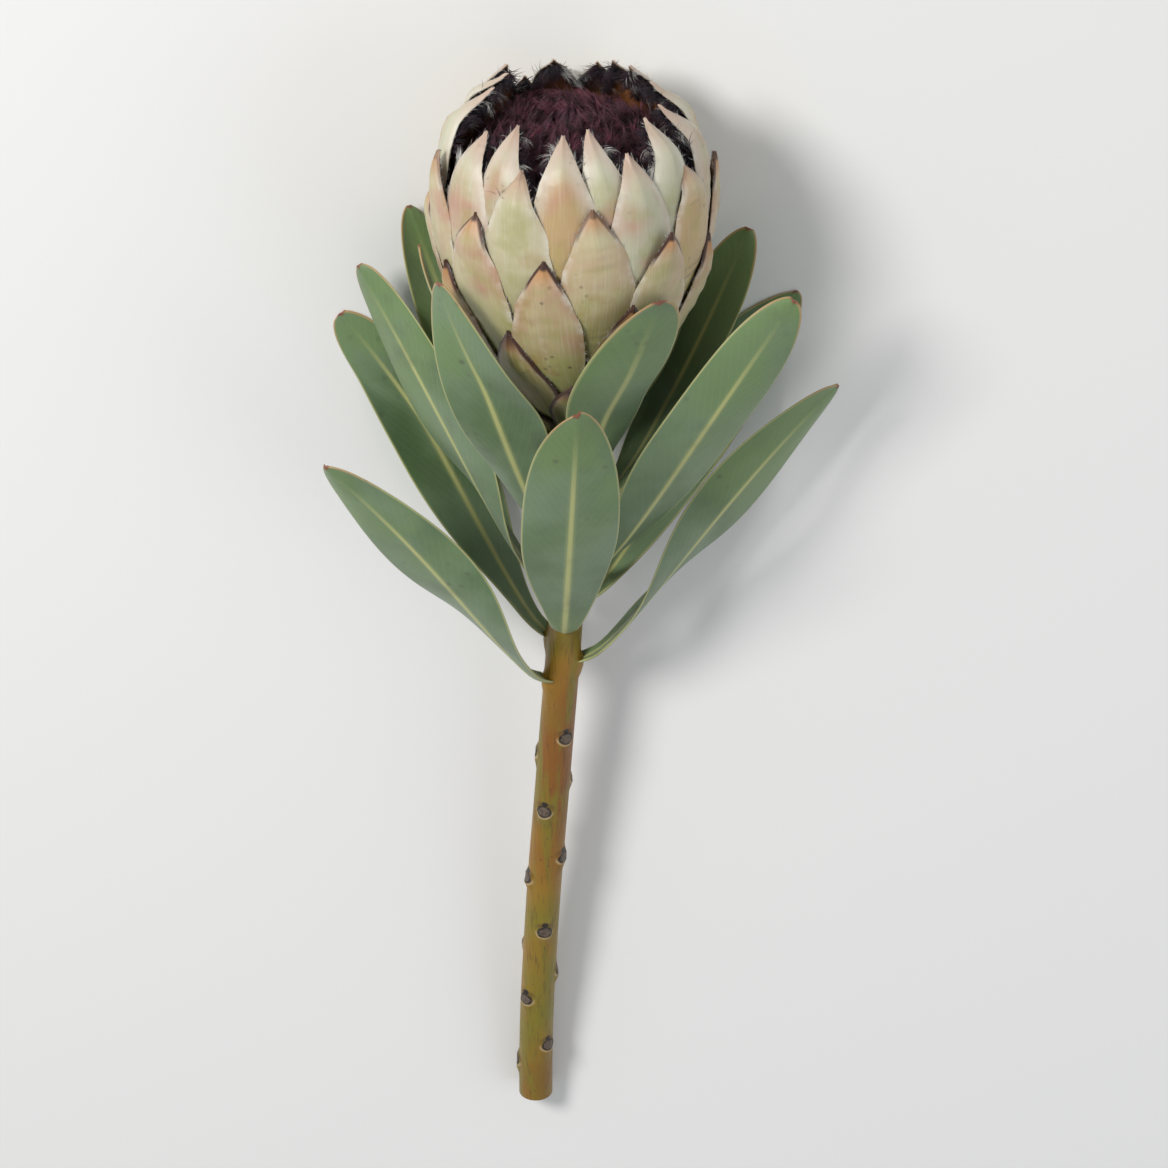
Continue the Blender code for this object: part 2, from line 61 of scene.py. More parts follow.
# Stem. A real stem is a woody shoot, smooth and olive to orange-brown, with a dark scar on a small cushion
# wherever a leaf was stripped. It is one tube drawn along the plant's centre line, swollen under the head,
# and its lower end is cut square, so bark, wood and pith show as rings.

GOLDEN_ANGLE = math.radians(137.508)
STEM_LENGTH = 0.288
STEM_RADIUS = 0.0063
NECK_RADIUS = 0.0098
NECK_LENGTH = 0.030
STEM_END_TILT = math.radians(8.5)
STEM_SWAY = -0.014
STEM_CHORD_SHARE = 0.992
STEM_CARRIER_SIDES = 12
STEM_TRIM = 0.985
STEM_SIDES = 72
STEM_CUTS = 430
STEM_SWELL = 0.006
STEM_SHORT_WAVES = 95.0
STEM_LONG_WAVES = 41.0
STEM_LONG_WAVE_SHARE = 0.7
STEM_WAVE_SLANT = 1.7
STEM_GAP = 0.0003
STEM_SHARP_FROM = math.radians(60.0)
END_INSETS = (0.10, 0.06, 0.22, 0.22, 0.16)

HEAD_TILT = math.radians(6.0)
HEAD_OUTLINE = (
    (0.0, 0.0112),
    (0.020, 0.0245),
    (0.045, 0.0398),
    (0.078, 0.0486),
    (0.105, 0.0462),
    (0.120, 0.0388),
    (0.132, 0.0270),
)
BRACTS = 48
BRACT_TIPS = (0.012, 0.1275)
BRACT_TIP_CROWDING = 2.3
BRACT_LAYER_STEP = 0.00019
REST_BRACT = 21
REST_STAND = 0.0010
REST_PRESS = 0.0006
REST_STEPS = 400

LEAVES = 14
LEAF_ZONE = (0.104, 0.006)
LEAF_TURN = math.radians(-54.0)
LEAF_LOWEST_AZIMUTH = math.radians(138.0)
SCARS = 16
SCAR_ZONE = (0.014, 0.172)
SCAR_HALF_WIDTH = 0.0032
SCAR_HALF_LENGTH = 0.0036
SCAR_STAND = 0.0016
CUSHION_HALF_WIDTH = 0.0046
CUSHION_HALF_LENGTH = 0.0050
CUSHION_STAND = 0.0015
SCAR_MIDDLE = 0.30
SCAR_REACH_UP = 0.75
SCAR_REACH_DOWN = 1.50
SCAR_ROUNDNESS = 0.7
SCAR_SURROUNDS = (3.0, 5.0)
SCAR_FACE = (0.72, 0.52)
SCAR_FACE_DEPTH = 0.45
BUD_MIDDLE = 0.82
BUD_SIZE = (1.0, 0.625)

BARK_OLIVE = (0.205, 0.175, 0.014, 1.0)
BARK_OCHRE = (0.310, 0.165, 0.012, 1.0)
BARK_ORANGE = (0.245, 0.095, 0.010, 1.0)
BARK_DARK = (0.080, 0.042, 0.016, 1.0)
SCAR_DARK = (0.018, 0.012, 0.009, 1.0)
SCAR_GREY = (0.135, 0.095, 0.068, 1.0)
SCAR_PALE = (0.460, 0.330, 0.170, 1.0)
WOOD_PALE = (0.620, 0.500, 0.300, 1.0)
PITH = (0.300, 0.180, 0.080, 1.0)


def curve_through(points, x):
    """Value at x of a smooth curve through a few (x, value) points."""
    xs = [p[0] for p in points]
    ys = [p[1] for p in points]
    x = min(max(x, xs[0]), xs[-1])
    i = min(bisect.bisect_right(xs, x) - 1, len(xs) - 2)

    def slope(k):
        a, b = max(k - 1, 0), min(k + 1, len(xs) - 1)
        return (ys[b] - ys[a]) / (xs[b] - xs[a])

    span = xs[i + 1] - xs[i]
    t = (x - xs[i]) / span
    rise = ys[i + 1] - ys[i]
    return (
        ys[i]
        + rise * t * t * (3 - 2 * t)
        + span * (slope(i) * t * (1 - t) ** 2 - slope(i + 1) * t * t * (1 - t))
    )


def clamped(x):
    return min(max(x, 0.0), 1.0)


def part_way(start, end, share):
    return start + (end - start) * share


def ease(t):
    """0 below 0, 1 above 1, and smooth between."""
    t = clamped(t)
    return t * t * (3 - 2 * t)


def ramp(x, start, end):
    return ease((x - start) / (end - start))


def outline(height):
    """Radius of the outline that the outermost bracts of the head follow."""
    return curve_through(HEAD_OUTLINE, height)


def share_with_tip_at(height):
    """Share of the way along the spiral of the bract whose tip is at this height."""
    low, high = BRACT_TIPS
    reach = clamped((height - low) / (high - low))
    return 1 - (1 - reach) ** (1 / BRACT_TIP_CROWDING)


def layered_radius(share, height):
    """Radius of a bract's middle at a height: each bract lies inside those whose tips are lower."""
    under = max(share - share_with_tip_at(height), 0.0)
    return outline(height) - BRACT_LAYER_STEP * (BRACTS - 1) * under


def rest_radius(height):
    """Radius of the outer face of the bract that the head rests on."""
    return layered_radius(REST_BRACT / (BRACTS - 1), height) + REST_STAND


HEAD_AXIS = Vector((0.0, math.cos(HEAD_TILT), math.sin(HEAD_TILT)))
REST_HEIGHT_IN_HEAD = max(
    (HEAD_OUTLINE[-1][0] * k / REST_STEPS for k in range(REST_STEPS)),
    key=lambda h: rest_radius(h) * math.cos(HEAD_TILT) - h * math.sin(HEAD_TILT),
)
HEAD_BASE = (
    Vector((0.0, 0.0, -REST_PRESS))
    + rest_radius(REST_HEIGHT_IN_HEAD) * Vector((0.0, -math.sin(HEAD_TILT), math.cos(HEAD_TILT)))
    - REST_HEIGHT_IN_HEAD * HEAD_AXIS
)
CUT_END = Vector((
    STEM_SWAY,
    HEAD_BASE.y - STEM_LENGTH * STEM_CHORD_SHARE,
    STEM_RADIUS * math.cos(math.pi / STEM_CARRIER_SIDES) * math.cos(STEM_END_TILT),
))
STEM_HANDLES = (
    CUT_END,
    CUT_END + Vector((0.0, math.cos(STEM_END_TILT), math.sin(STEM_END_TILT))) * STEM_LENGTH / 3,
    HEAD_BASE - HEAD_AXIS * STEM_LENGTH / 3,
    HEAD_BASE,
)


@functools.lru_cache(maxsize=None)
def axis_at(distance):
    """(point, along, up, right) on the plant's centre line, at a distance from the cut end. Past the head's
    base the line is straight."""
    a, b, c, d = STEM_HANDLES
    t = clamped(distance / STEM_LENGTH)
    point = a * (1 - t) ** 3 + b * 3 * t * (1 - t) ** 2 + c * 3 * t * t * (1 - t) + d * t**3
    along = ((b - a) * (1 - t) ** 2 + (c - b) * 2 * t * (1 - t) + (d - c) * t * t).normalized()
    if distance > STEM_LENGTH:
        point = point + along * (distance - STEM_LENGTH)
    right = along.cross(Vector((0.0, 0.0, 1.0))).normalized()
    return point, along, right.cross(along), right


def round_point(distance, azimuth, radius):
    """A point round the centre line. Azimuth 0 is upwards, and a quarter turn is to the right."""
    point, _, up, right = axis_at(distance)
    return point + (up * math.cos(azimuth) + right * math.sin(azimuth)) * radius


def stem_radius(distance):
    return part_way(STEM_RADIUS, NECK_RADIUS, ramp(distance, STEM_LENGTH - NECK_LENGTH, STEM_LENGTH))


def ringed_tube(name, sides, cuts):
    """A closed tube of length 1 and radius 1 along Z, cut into rings."""
    bpy.ops.object.select_all(action="DESELECT")
    bpy.ops.mesh.primitive_cylinder_add(vertices=sides, radius=1.0, depth=1.0)
    tube = bpy.context.object
    tube.name = tube.data.name = name
    bpy.ops.object.mode_set(mode="EDIT")
    bpy.ops.mesh.select_mode(type="EDGE")
    bpy.ops.mesh.select_all(action="DESELECT")
    bpy.ops.object.mode_set(mode="OBJECT")
    for edge in tube.data.edges:
        a, b = (tube.data.vertices[i].co.z for i in edge.vertices)
        edge.select = abs(a - b) > 0.5
    bpy.ops.object.mode_set(mode="EDIT")
    bpy.ops.mesh.subdivide(number_cuts=cuts)
    bpy.ops.object.mode_set(mode="OBJECT")
    return tube


def inset_end(tube, insets):
    """Rings set into the tube's lower end face."""
    bpy.ops.object.mode_set(mode="EDIT")
    bpy.ops.mesh.select_mode(type="FACE")
    bpy.ops.mesh.select_all(action="DESELECT")
    bpy.ops.object.mode_set(mode="OBJECT")
    for face in tube.data.polygons:
        face.select = face.normal.z < -0.5
    bpy.ops.object.mode_set(mode="EDIT")
    for thickness in insets:
        bpy.ops.mesh.inset(thickness=thickness, use_relative_offset=False)
    bpy.ops.object.mode_set(mode="OBJECT")


def vector_attribute(piece, name, values):
    """Keeps three numbers for each point, for the material to read."""
    made = piece.data.attributes.new(name, "FLOAT_VECTOR", "POINT")
    made.data.foreach_set("vector", np.asarray(values, np.float32).ravel())


def rest_on_surface(piece):
    """Presses flat what would reach below the surface that the stem lies on."""
    for vertex in piece.data.vertices:
        vertex.co.z = max(vertex.co.z, 0.0)


def finished(piece, material_slot, *materials, stands_for=()):
    """Gives a piece its materials, smooth shading and its place in the frame."""
    for material in materials:
        piece.data.materials.append(material)
    piece.data.shade_smooth()
    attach(piece, "root")
    if stands_for:
        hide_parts(*stands_for)


def shader_node(tree, kind, inputs=None, **settings):
    """A node with its settings and inputs. An input is another node's output or a plain value."""
    made = tree.nodes.new(kind)
    for name, value in settings.items():
        setattr(made, name, value)
    for key, value in (inputs or {}).items():
        if isinstance(value, bpy.types.NodeSocket):
            tree.links.new(value, made.inputs[key])
        else:
            made.inputs[key].default_value = value
    return made


def calc(tree, operation, *values):
    return shader_node(tree, "ShaderNodeMath", dict(enumerate(values)), operation=operation).outputs[0]


def between(tree, value, low, high):
    """0 at low and 1 at high, smooth between. low may be the larger."""
    inputs = {"Value": value, "From Min": low, "From Max": high}
    return shader_node(tree, "ShaderNodeMapRange", inputs, interpolation_type="SMOOTHSTEP").outputs[0]


def times(tree, *factors):
    """The product of factors. Each is an output, a number, or what between takes: (value, low, high)."""
    factors = [between(tree, *factor) if isinstance(factor, tuple) else factor for factor in factors]
    return functools.reduce(lambda a, b: calc(tree, "MULTIPLY", a, b), factors)


def painted(tree, colour, *coats):
    """A colour under coats of others. Each coat is a colour and the factors of its mask."""
    for coat, *masks in coats:
        inputs = {0: times(tree, *masks), 6: colour, 7: coat}
        colour = shader_node(tree, "ShaderNodeMix", inputs, data_type="RGBA").outputs[2]
    return colour


def attribute_parts(tree, name):
    """The three numbers of a vector attribute, and the vector itself."""
    vector = shader_node(tree, "ShaderNodeAttribute", attribute_name=name).outputs["Vector"]
    parts = shader_node(tree, "ShaderNodeSeparateXYZ", {0: vector}).outputs
    return parts[0], parts[1], parts[2], vector


def object_place(tree):
    return shader_node(tree, "ShaderNodeTexCoord").outputs["Object"]


def new_material(name, **numbers):
    """A material and its node tree. The numbers go on the shader's own sockets."""
    material = bpy.data.materials.new(name)
    material.use_nodes = True
    shader = material.node_tree.nodes["Principled BSDF"]
    for key, value in numbers.items():
        shader.inputs[key.replace("_", " ").title()].default_value = value
    return material, material.node_tree, shader


def finish_shader(tree, shader, colour, roughness=None, height=None, depth=0.0):
    tree.links.new(colour, shader.inputs["Base Color"])
    if roughness is not None:
        tree.links.new(roughness, shader.inputs["Roughness"])
    if height is not None:
        bump = shader_node(tree, "ShaderNodeBump", {"Distance": depth, "Height": height})
        tree.links.new(bump.outputs[0], shader.inputs["Normal"])


def effect_group(name, numbers, build):
    """A shared effect: one output, called Mask, from a vector and some numbers."""
    group = bpy.data.node_groups.new(name, "ShaderNodeTree")
    group.interface.new_socket("Vector", in_out="INPUT", socket_type="NodeSocketVector")
    for number in numbers:
        group.interface.new_socket(number, in_out="INPUT", socket_type="NodeSocketFloat")
    group.interface.new_socket("Mask", in_out="OUTPUT", socket_type="NodeSocketFloat")
    given = group.nodes.new("NodeGroupInput").outputs
    result = build(group, given)
    group.links.new(result, group.nodes.new("NodeGroupOutput").inputs[0])
    return group


def effect(tree, group, **inputs):
    """Places a shared effect in a material and gives its mask."""
    return shader_node(tree, "ShaderNodeGroup", inputs, node_tree=group).outputs["Mask"]


def build_patches(tree, given):
    """Soft clouds of colour between two levels of a noise."""
    inputs = {"Vector": given["Vector"], "Scale": given["Scale"], "Detail": 3.0}
    cloud = shader_node(tree, "ShaderNodeTexNoise", inputs).outputs[0]
    return between(tree, cloud, given["Low"], given["High"])


def build_fibres(tree, given):
    """Fine lines that run along Y, as silk, grain and veins do."""
    squeeze = shader_node(tree, "ShaderNodeCombineXYZ", {0: 1.0, 1: given["Stretch"], 2: 1.0}).outputs[0]
    run = shader_node(tree, "ShaderNodeVectorMath", {0: given["Vector"], 1: squeeze}, operation="MULTIPLY")
    inputs = {"Vector": run.outputs[0], "Scale": given["Scale"], "Detail": 4.0, "Roughness": 0.65}
    return shader_node(tree, "ShaderNodeTexNoise", inputs).outputs[0]


def build_spots(tree, given):
    """Small round spots, present only in some places."""
    inputs = {"Vector": given["Vector"], "Scale": given["Scale"]}
    near = shader_node(tree, "ShaderNodeTexVoronoi", inputs).outputs["Distance"]
    spot = between(tree, near, given["Size"], 0.0)
    scale = calc(tree, "MULTIPLY", given["Scale"], 0.21)
    where = shader_node(tree, "ShaderNodeTexNoise", {"Vector": given["Vector"], "Scale": scale}).outputs[0]
    return times(tree, spot, (where, 0.54, 0.64))


patches = effect_group("patches", ("Scale", "Low", "High"), build_patches)
fibres = effect_group("fibres", ("Scale", "Stretch"), build_fibres)
spots = effect_group("spots", ("Scale", "Size"), build_spots)


def leaf_foot(number):
    """Distance from the cut end to the foot of a leaf."""
    return STEM_LENGTH - part_way(*LEAF_ZONE, number / (LEAVES - 1))


def leaf_azimuth(number):
    """Azimuth in the spiral. The surface pushes leaves that point down out to the sides."""
    turn = (LEAF_TURN + number * GOLDEN_ANGLE + math.pi) % (2 * math.pi) - math.pi
    size = abs(turn)
    side = math.pi / 2
    if size > side:
        size = part_way(side, LEAF_LOWEST_AZIMUTH, (size - side) / (math.pi - side))
    return math.copysign(size, turn)


def cushion_place(distance, azimuth, middle, turn, half_width, half_length):
    """(across, along, off) of points of the stem from the middle of a leaf cushion, in half widths and half
    lengths of it. off is 1 at its rim."""
    round_by = (azimuth - turn + math.pi) % (2 * math.pi) - math.pi
    across = round_by * stem_radius(middle) / half_width
    along = (distance - middle) / half_length - SCAR_MIDDLE
    reach = np.where(along > 0, SCAR_REACH_UP, SCAR_REACH_DOWN)
    return across, along, across**2 + (along / reach) ** 2


def scar_relief(distance, azimuth):
    """Height of the bark at points of the stem, and (across, along, nearness) for the nearest leaf scar.
    The leaves that are still there stand on cushions of the same form."""
    near, far = SCAR_SURROUNDS
    height = np.zeros(len(distance))
    place = np.zeros((len(distance), 3))
    closest = np.full(len(distance), np.inf)
    for number in range(SCARS):
        middle = part_way(*SCAR_ZONE, number / (SCARS - 1))
        turn = LEAF_TURN - GOLDEN_ANGLE * (SCARS - number)
        size = (SCAR_HALF_WIDTH, SCAR_HALF_LENGTH)
        across, along, off = cushion_place(distance, azimuth, middle, turn, *size)
        cushion = np.clip(1 - off, 0, 1) ** SCAR_ROUNDNESS
        face = (across / SCAR_FACE[0]) ** 2 + (along / SCAR_FACE[1]) ** 2
        dent = np.clip(1 - face, 0, 1) ** 0.5 * SCAR_FACE_DEPTH
        height = np.maximum(height, (cushion - dent * (cushion > 0)) * SCAR_STAND)
        closer = off < closest
        nearness = np.clip((far - off) / (far - near), 0, 1)
        place[closer] = np.stack([across, along, nearness], 1)[closer]
        closest = np.minimum(off, closest)
    for number in range(LEAVES):
        size = (CUSHION_HALF_WIDTH, CUSHION_HALF_LENGTH)
        _, _, off = cushion_place(distance, azimuth, leaf_foot(number), leaf_azimuth(number), *size)
        height = np.maximum(height, np.clip(1 - off, 0, 1) * CUSHION_STAND)
    return height, place


def off_ellipse(tree, across, along, middle, half_sizes):
    """Squared distance from the middle of an ellipse on the bark. It is 1 on the ellipse."""
    wide = calc(tree, "POWER", calc(tree, "DIVIDE", across, half_sizes[0]), 2.0)
    up = calc(tree, "SUBTRACT", along, middle)
    tall = calc(tree, "POWER", calc(tree, "DIVIDE", up, half_sizes[1]), 2.0)
    return calc(tree, "ADD", wide, tall)


def stem_material():
    """Bark, with each scar a grey face in a dark ring, a pale rim below it, a dark bud above it and painted
    shade on the bark round its upper side.
    """
    material, tree, shader = new_material(
        "stem_bark", roughness=0.48, coat_weight=0.12, coat_roughness=0.35
    )
    where = object_place(tree)
    grain = effect(tree, fibres, Vector=where, Scale=900.0, Stretch=0.06)
    bands = effect(tree, fibres, Vector=where, Scale=130.0, Stretch=0.07)
    colour = painted(
        tree, BARK_OLIVE,
        (BARK_OCHRE, effect(tree, patches, Vector=where, Scale=26.0, Low=0.36, High=0.60)),
        (BARK_ORANGE, effect(tree, patches, Vector=where, Scale=15.0, Low=0.48, High=0.66)),
        (BARK_OLIVE, (bands, 0.50, 0.62), 0.8),
        (BARK_DARK, (grain, 0.52, 0.72), 0.5),
        (BARK_DARK, effect(tree, spots, Vector=where, Scale=420.0, Size=0.30), 0.75),
    )
    across, along, near, _ = attribute_parts(tree, "scar_place")
    off = off_ellipse(tree, across, along, 0.0, SCAR_FACE)
    off_bud = off_ellipse(tree, across, along, BUD_MIDDLE, BUD_SIZE)
    rough = effect(tree, patches, Vector=where, Scale=700.0, Low=0.35, High=0.65)
    mottled = calc(tree, "ADD", rough, 0.6)
    scar = painted(tree, SCAR_DARK, (SCAR_GREY, mottled, (off, 1.05, 0.45)))
    face = times(tree, (off, 1.7, 1.1), near)
    rim = times(tree, (off, 3.0, 2.1), (off, 1.2, 1.7), near)
    colour = painted(
        tree, colour,
        (SCAR_PALE, rim, (along, 0.25, -0.35), 0.85),
        # Painted shade on the bark round the upper side of each scar cushion.
        (BARK_DARK, (off, 5.5, 1.5), (along, 0.1, 0.9), near, 0.85),
        (scar, face),
        (SCAR_DARK, (off_bud, 0.20, 0.08), near),
    )
    roughness = calc(tree, "MULTIPLY_ADD", grain, 0.3, 0.30)
    relief = calc(tree, "ADD", grain, times(tree, rough, face))
    finish_shader(tree, shader, colour, roughness, relief, 0.0004)
    return material


def cut_wood_material():
    """The cut end: pale wood with rays and rings round a brown pith, under a green rim."""
    material, tree, shader = new_material("cut_wood", roughness=0.8)
    _, _, ring, where = attribute_parts(tree, "end_place")
    inputs = {"Vector": where, "Scale": 9.0, "Detail": 5.0}
    grain = shader_node(tree, "ShaderNodeTexNoise", inputs).outputs[0]
    rings = calc(tree, "SINE", times(tree, ring, 42.0))
    colour = painted(
        tree, WOOD_PALE,
        (BARK_OCHRE, (grain, 0.45, 0.7), 0.6),
        (BARK_OCHRE, (rings, 0.2, 1.0), 0.35),
        (PITH, (ring, 0.36, 0.25)),
        (BARK_OLIVE, (ring, 0.84, 0.90)),
    )
    finish_shader(tree, shader, colour, None, calc(tree, "ADD", grain, rings), 0.0002)
    return material


def make_stem():
    stem = ringed_tube("stem_bark", STEM_SIDES, STEM_CUTS)
    inset_end(stem, END_INSETS)
    points = np.array([v.co for v in stem.data.vertices])
    distance = (points[:, 2] + 0.5) * (STEM_LENGTH - STEM_GAP)
    azimuth = np.arctan2(points[:, 0], points[:, 1])
    inwards = np.hypot(points[:, 0], points[:, 1])
    relief, scar_place = scar_relief(distance, azimuth)
    swell = np.sin(distance * STEM_SHORT_WAVES + STEM_WAVE_SLANT * np.sin(azimuth))
    swell += STEM_LONG_WAVE_SHARE * np.sin(distance * STEM_LONG_WAVES - azimuth * 2)
    parts = zip(stem.data.vertices, distance, azimuth, inwards, relief, swell)
    for vertex, d, a, share, stand, wave in parts:
        radius = stem_radius(d) * (STEM_TRIM + STEM_SWELL * wave) + stand
        vertex.co = round_point(float(d), a, radius * share)
    vector_attribute(stem, "scar_place", scar_place)
    vector_attribute(stem, "end_place", np.stack([points[:, 0], points[:, 1], inwards], 1))
    for face in stem.data.polygons:
        on_end = all(distance[i] < 1e-6 for i in face.vertices)
        face.material_index = 1 if on_end else 0
    rest_on_surface(stem)
    finished(stem, "stem_bark", stem_material(), cut_wood_material(), stands_for=["stem"])
    stem.data.set_sharp_from_angle(angle=STEM_SHARP_FROM)


make_stem()


# Bracts. The head is a spiral of leathery scales that overlap like roof tiles: small olive ones with brown
# tips at its base, and long pale silky ones above, whose pointed tips lean over the flowers. All of them
# grow from the receptacle, the widened end of the stem, and their inner faces are amber.

BRACT_SEED = 11
BRACT_SHAPE_SEED = 5
BRACT_ROOTS = (0.0015, 0.0285)
BRACT_THICKNESS = 0.0008
BRACT_EDGE_THICKNESS = 0.00035
BRACT_THINNED_TIP = 0.1
BRACT_WIDTHS = ((0.0, 0.0170), (0.25, 0.0235), (0.55, 0.0260), (0.80, 0.0245), (1.0, 0.0210))
BRACT_TAPER_LENGTH = 0.034
BRACT_TAPER_SHARE = 0.80
BRACT_TIP_SHARPNESS = 0.97
BRACT_ROOT_SHARE = 0.55
BRACT_FULL_WIDTH_AT = 0.55
BRACT_TIP_WIDTH = 0.0008
BRACT_BULGE = 0.0010
BRACT_BULGE_RISE = (0.40, 0.70)
BRACT_BULGE_BLUNTNESS = 2.2
BRACT_TIP_BULGE = 0.35
BRACT_TIP_CUP = 0.0012
BRACT_TIP_CUP_LEVEL = 0.45
BRACT_TIP_CUP_REACH = (0.034, 0.012)
BRACT_KEEL = 0.0005
BRACT_KEEL_WIDTH = 0.25
BRACT_FLARE = (-0.0009, 0.0022)
BRACT_FLARE_RISE = (0.75, 1.0)
BRACT_ROOT_SINK = 0.0022
BRACT_ROOT_RISE = (0.0, 0.15)
BRACT_TURN_PLAY = 0.04
BRACT_LENGTH_PLAY = 0.0015
BRACT_COLUMNS = 14
BRACT_ROWS = 34
BRACT_ROW_CROWDING = 1.35
BRACT_EDGE_WAVE = 0.15
BRACT_EDGE_WAVES = (420.0, 2.0)
BRACT_EDGE_WAVE_RISE = (0.5, 0.8)
BRACT_TIP_HOOK = (-0.0036, 0.0008)
BRACT_TIP_HOOK_LENGTH = 0.011
BRACT_RIM_BEND = 0.0030
BRACT_RIM_SHARES = (0.45, 0.70)
BRACT_TIP_LEAN = 0.0024
BRACT_TIP_LEAN_LENGTH = 0.020
BRACT_LEAN_SHARES = (0.35, 0.60)
BRACT_PUCKER = 0.00022
BRACT_PUCKERS = (900.0, 2.6)
BRACT_PUCKER_RISE = (0.4, 0.6)
BRACT_PUCKER_FALL = (0.95, 0.8)
BRACT_PATTERN_STEP = 0.037
BRACT_SHARP_FROM = math.radians(65.0)
SEAT_HEIGHT = 0.0300
RECEPTACLE_SIDES = 48
RECEPTACLE_CUTS = 11
RECEPTACLE_KIND = (0.05, 0.01, 0.02)
RECEPTACLE_PATTERN_RADIUS = 0.02
RECEPTACLE_SHARP_FROM = math.radians(50.0)

BRACT_OLIVE = (0.180, 0.175, 0.040, 1.0)
BRACT_TAN = (0.380, 0.305, 0.110, 1.0)
BRACT_CREAM = (0.555, 0.485, 0.275, 1.0)
BRACT_WHITE = (0.540, 0.530, 0.375, 1.0)
BRACT_GOLD = (0.515, 0.355, 0.135, 1.0)
BRACT_BLUSH = (0.505, 0.275, 0.195, 1.0)
BRACT_TIP_PINK = (0.500, 0.290, 0.215, 1.0)
BRACT_ORANGE = (0.500, 0.240, 0.080, 1.0)
BRACT_GREEN = (0.345, 0.345, 0.095, 1.0)
BRACT_BROWN = (0.060, 0.022, 0.014, 1.0)
BRACT_OCHRE = (0.360, 0.210, 0.060, 1.0)
BRACT_SILK_WHITE_AND_SHEEN = (0.760, 0.740, 0.640, 1.0)
BRACT_AMBER = (0.360, 0.135, 0.040, 1.0)
BRACT_RUST = (0.220, 0.055, 0.026, 1.0)
BRACT_DEEP = (0.070, 0.018, 0.012, 1.0)
BRACT_INNER_TIP = (0.600, 0.430, 0.250, 1.0)

Bract = collections.namedtuple("Bract", "number share azimuth root tip flare hook phase tone")


def head_point(height, azimuth, radius):
    return round_point(STEM_LENGTH + height, azimuth, radius)


def tip_height(share):
    """Height of a bract's tip, for its share of the way along the spiral."""
    return part_way(*BRACT_TIPS, 1 - (1 - share) ** BRACT_TIP_CROWDING)


def draw_bracts():
    """The bracts in their spiral, with the small chances of growth."""
    chance = random.Random(BRACT_SEED)
    own = random.Random(BRACT_SHAPE_SEED)
    drawn = []
    for number in range(BRACTS):
        share = number / (BRACTS - 1)
        azimuth = math.pi + (number - REST_BRACT) * GOLDEN_ANGLE + chance.uniform(-1, 1) * BRACT_TURN_PLAY
        tip = tip_height(share) + chance.uniform(-1, 1) * BRACT_LENGTH_PLAY
        root = part_way(*BRACT_ROOTS, share)
        flare = chance.uniform(*BRACT_FLARE)
        hook = own.uniform(*BRACT_TIP_HOOK)
        phase = own.uniform(0, 2 * math.pi)
        tone = (own.random(), own.random() ** 2, own.random())
        drawn.append(Bract(number, share, azimuth, root, tip, flare, hook, phase, tone))
    return drawn


def bract_half_width(bract, along):
    """Half width at a share of the way from the root to the pointed tip."""
    length = bract.tip - bract.root
    widest = curve_through(BRACT_WIDTHS, bract.share) / 2
    taper = min(BRACT_TAPER_LENGTH, BRACT_TAPER_SHARE * length)
    from_tip = min((1 - along) * length / taper, 1.0)
    pointed = (1 - (1 - from_tip) ** 2) ** BRACT_TIP_SHARPNESS
    rooted = part_way(BRACT_ROOT_SHARE, 1.0, ramp(along, 0.0, BRACT_FULL_WIDTH_AT))
    return max(widest * pointed * rooted, BRACT_TIP_WIDTH / 2)


def bract_point(bract, across, along):
    """A point on the middle sheet of a bract. across runs from -1 to 1, and along from root to tip."""
    length = bract.tip - bract.root
    height = bract.root + length * along
    from_tip = length * (1 - along)
    half_width = bract_half_width(bract, along)
    lengthwise, crosswise = BRACT_EDGE_WAVES
    wave = math.sin(along * length * lengthwise + bract.phase + across * crosswise)
    half_width *= 1 + BRACT_EDGE_WAVE * wave * ramp(along, *BRACT_EDGE_WAVE_RISE) * (1 - along)
    middle = layered_radius(bract.share, height)
    middle += bract.flare * ramp(along, *BRACT_FLARE_RISE)
    bend = bract.hook - BRACT_RIM_BEND * ramp(bract.share, *BRACT_RIM_SHARES)
    middle += bend * ramp(from_tip, BRACT_TIP_HOOK_LENGTH, 0.0)
    middle -= BRACT_ROOT_SINK * (1 - ramp(along, *BRACT_ROOT_RISE))
    fullness = half_width / (curve_through(BRACT_WIDTHS, bract.share) / 2)
    bulge = BRACT_BULGE * (1 - abs(across) ** BRACT_BULGE_BLUNTNESS)
    bulge *= part_way(BRACT_TIP_BULGE, 1.0, fullness) * ramp(along, *BRACT_BULGE_RISE)
    bared = ramp(from_tip, *BRACT_TIP_CUP_REACH)
    bulge += BRACT_TIP_CUP * (BRACT_TIP_CUP_LEVEL - across * across) * bared * math.sqrt(fullness)
    bulge += BRACT_KEEL * math.exp(-((across / BRACT_KEEL_WIDTH) ** 2)) * bared
    lengthwise, crosswise = BRACT_PUCKERS
    pucker = BRACT_PUCKER * math.sin(along * length * lengthwise + bract.phase * 3)
    pucker *= math.cos(across * crosswise + bract.phase) * (1 - across * across)
    pucker *= ramp(along, *BRACT_PUCKER_RISE) * ramp(along, *BRACT_PUCKER_FALL)
    lean = BRACT_TIP_LEAN * math.sin(bract.phase * 7) * ramp(bract.share, *BRACT_LEAN_SHARES)
    sideways = across * half_width + lean * ramp(from_tip, BRACT_TIP_LEAN_LENGTH, 0.0)
    return head_point(height, bract.azimuth + sideways / middle, middle + bulge + pucker)


def grid_sheet(name, columns, rows):
    """A flat square grid from -1 to 1, with this many cells."""
    bpy.ops.object.select_all(action="DESELECT")
    bpy.ops.mesh.primitive_grid_add(x_subdivisions=columns, y_subdivisions=rows, size=2.0)
    sheet = bpy.context.object
    sheet.name = sheet.data.name = name
    return sheet


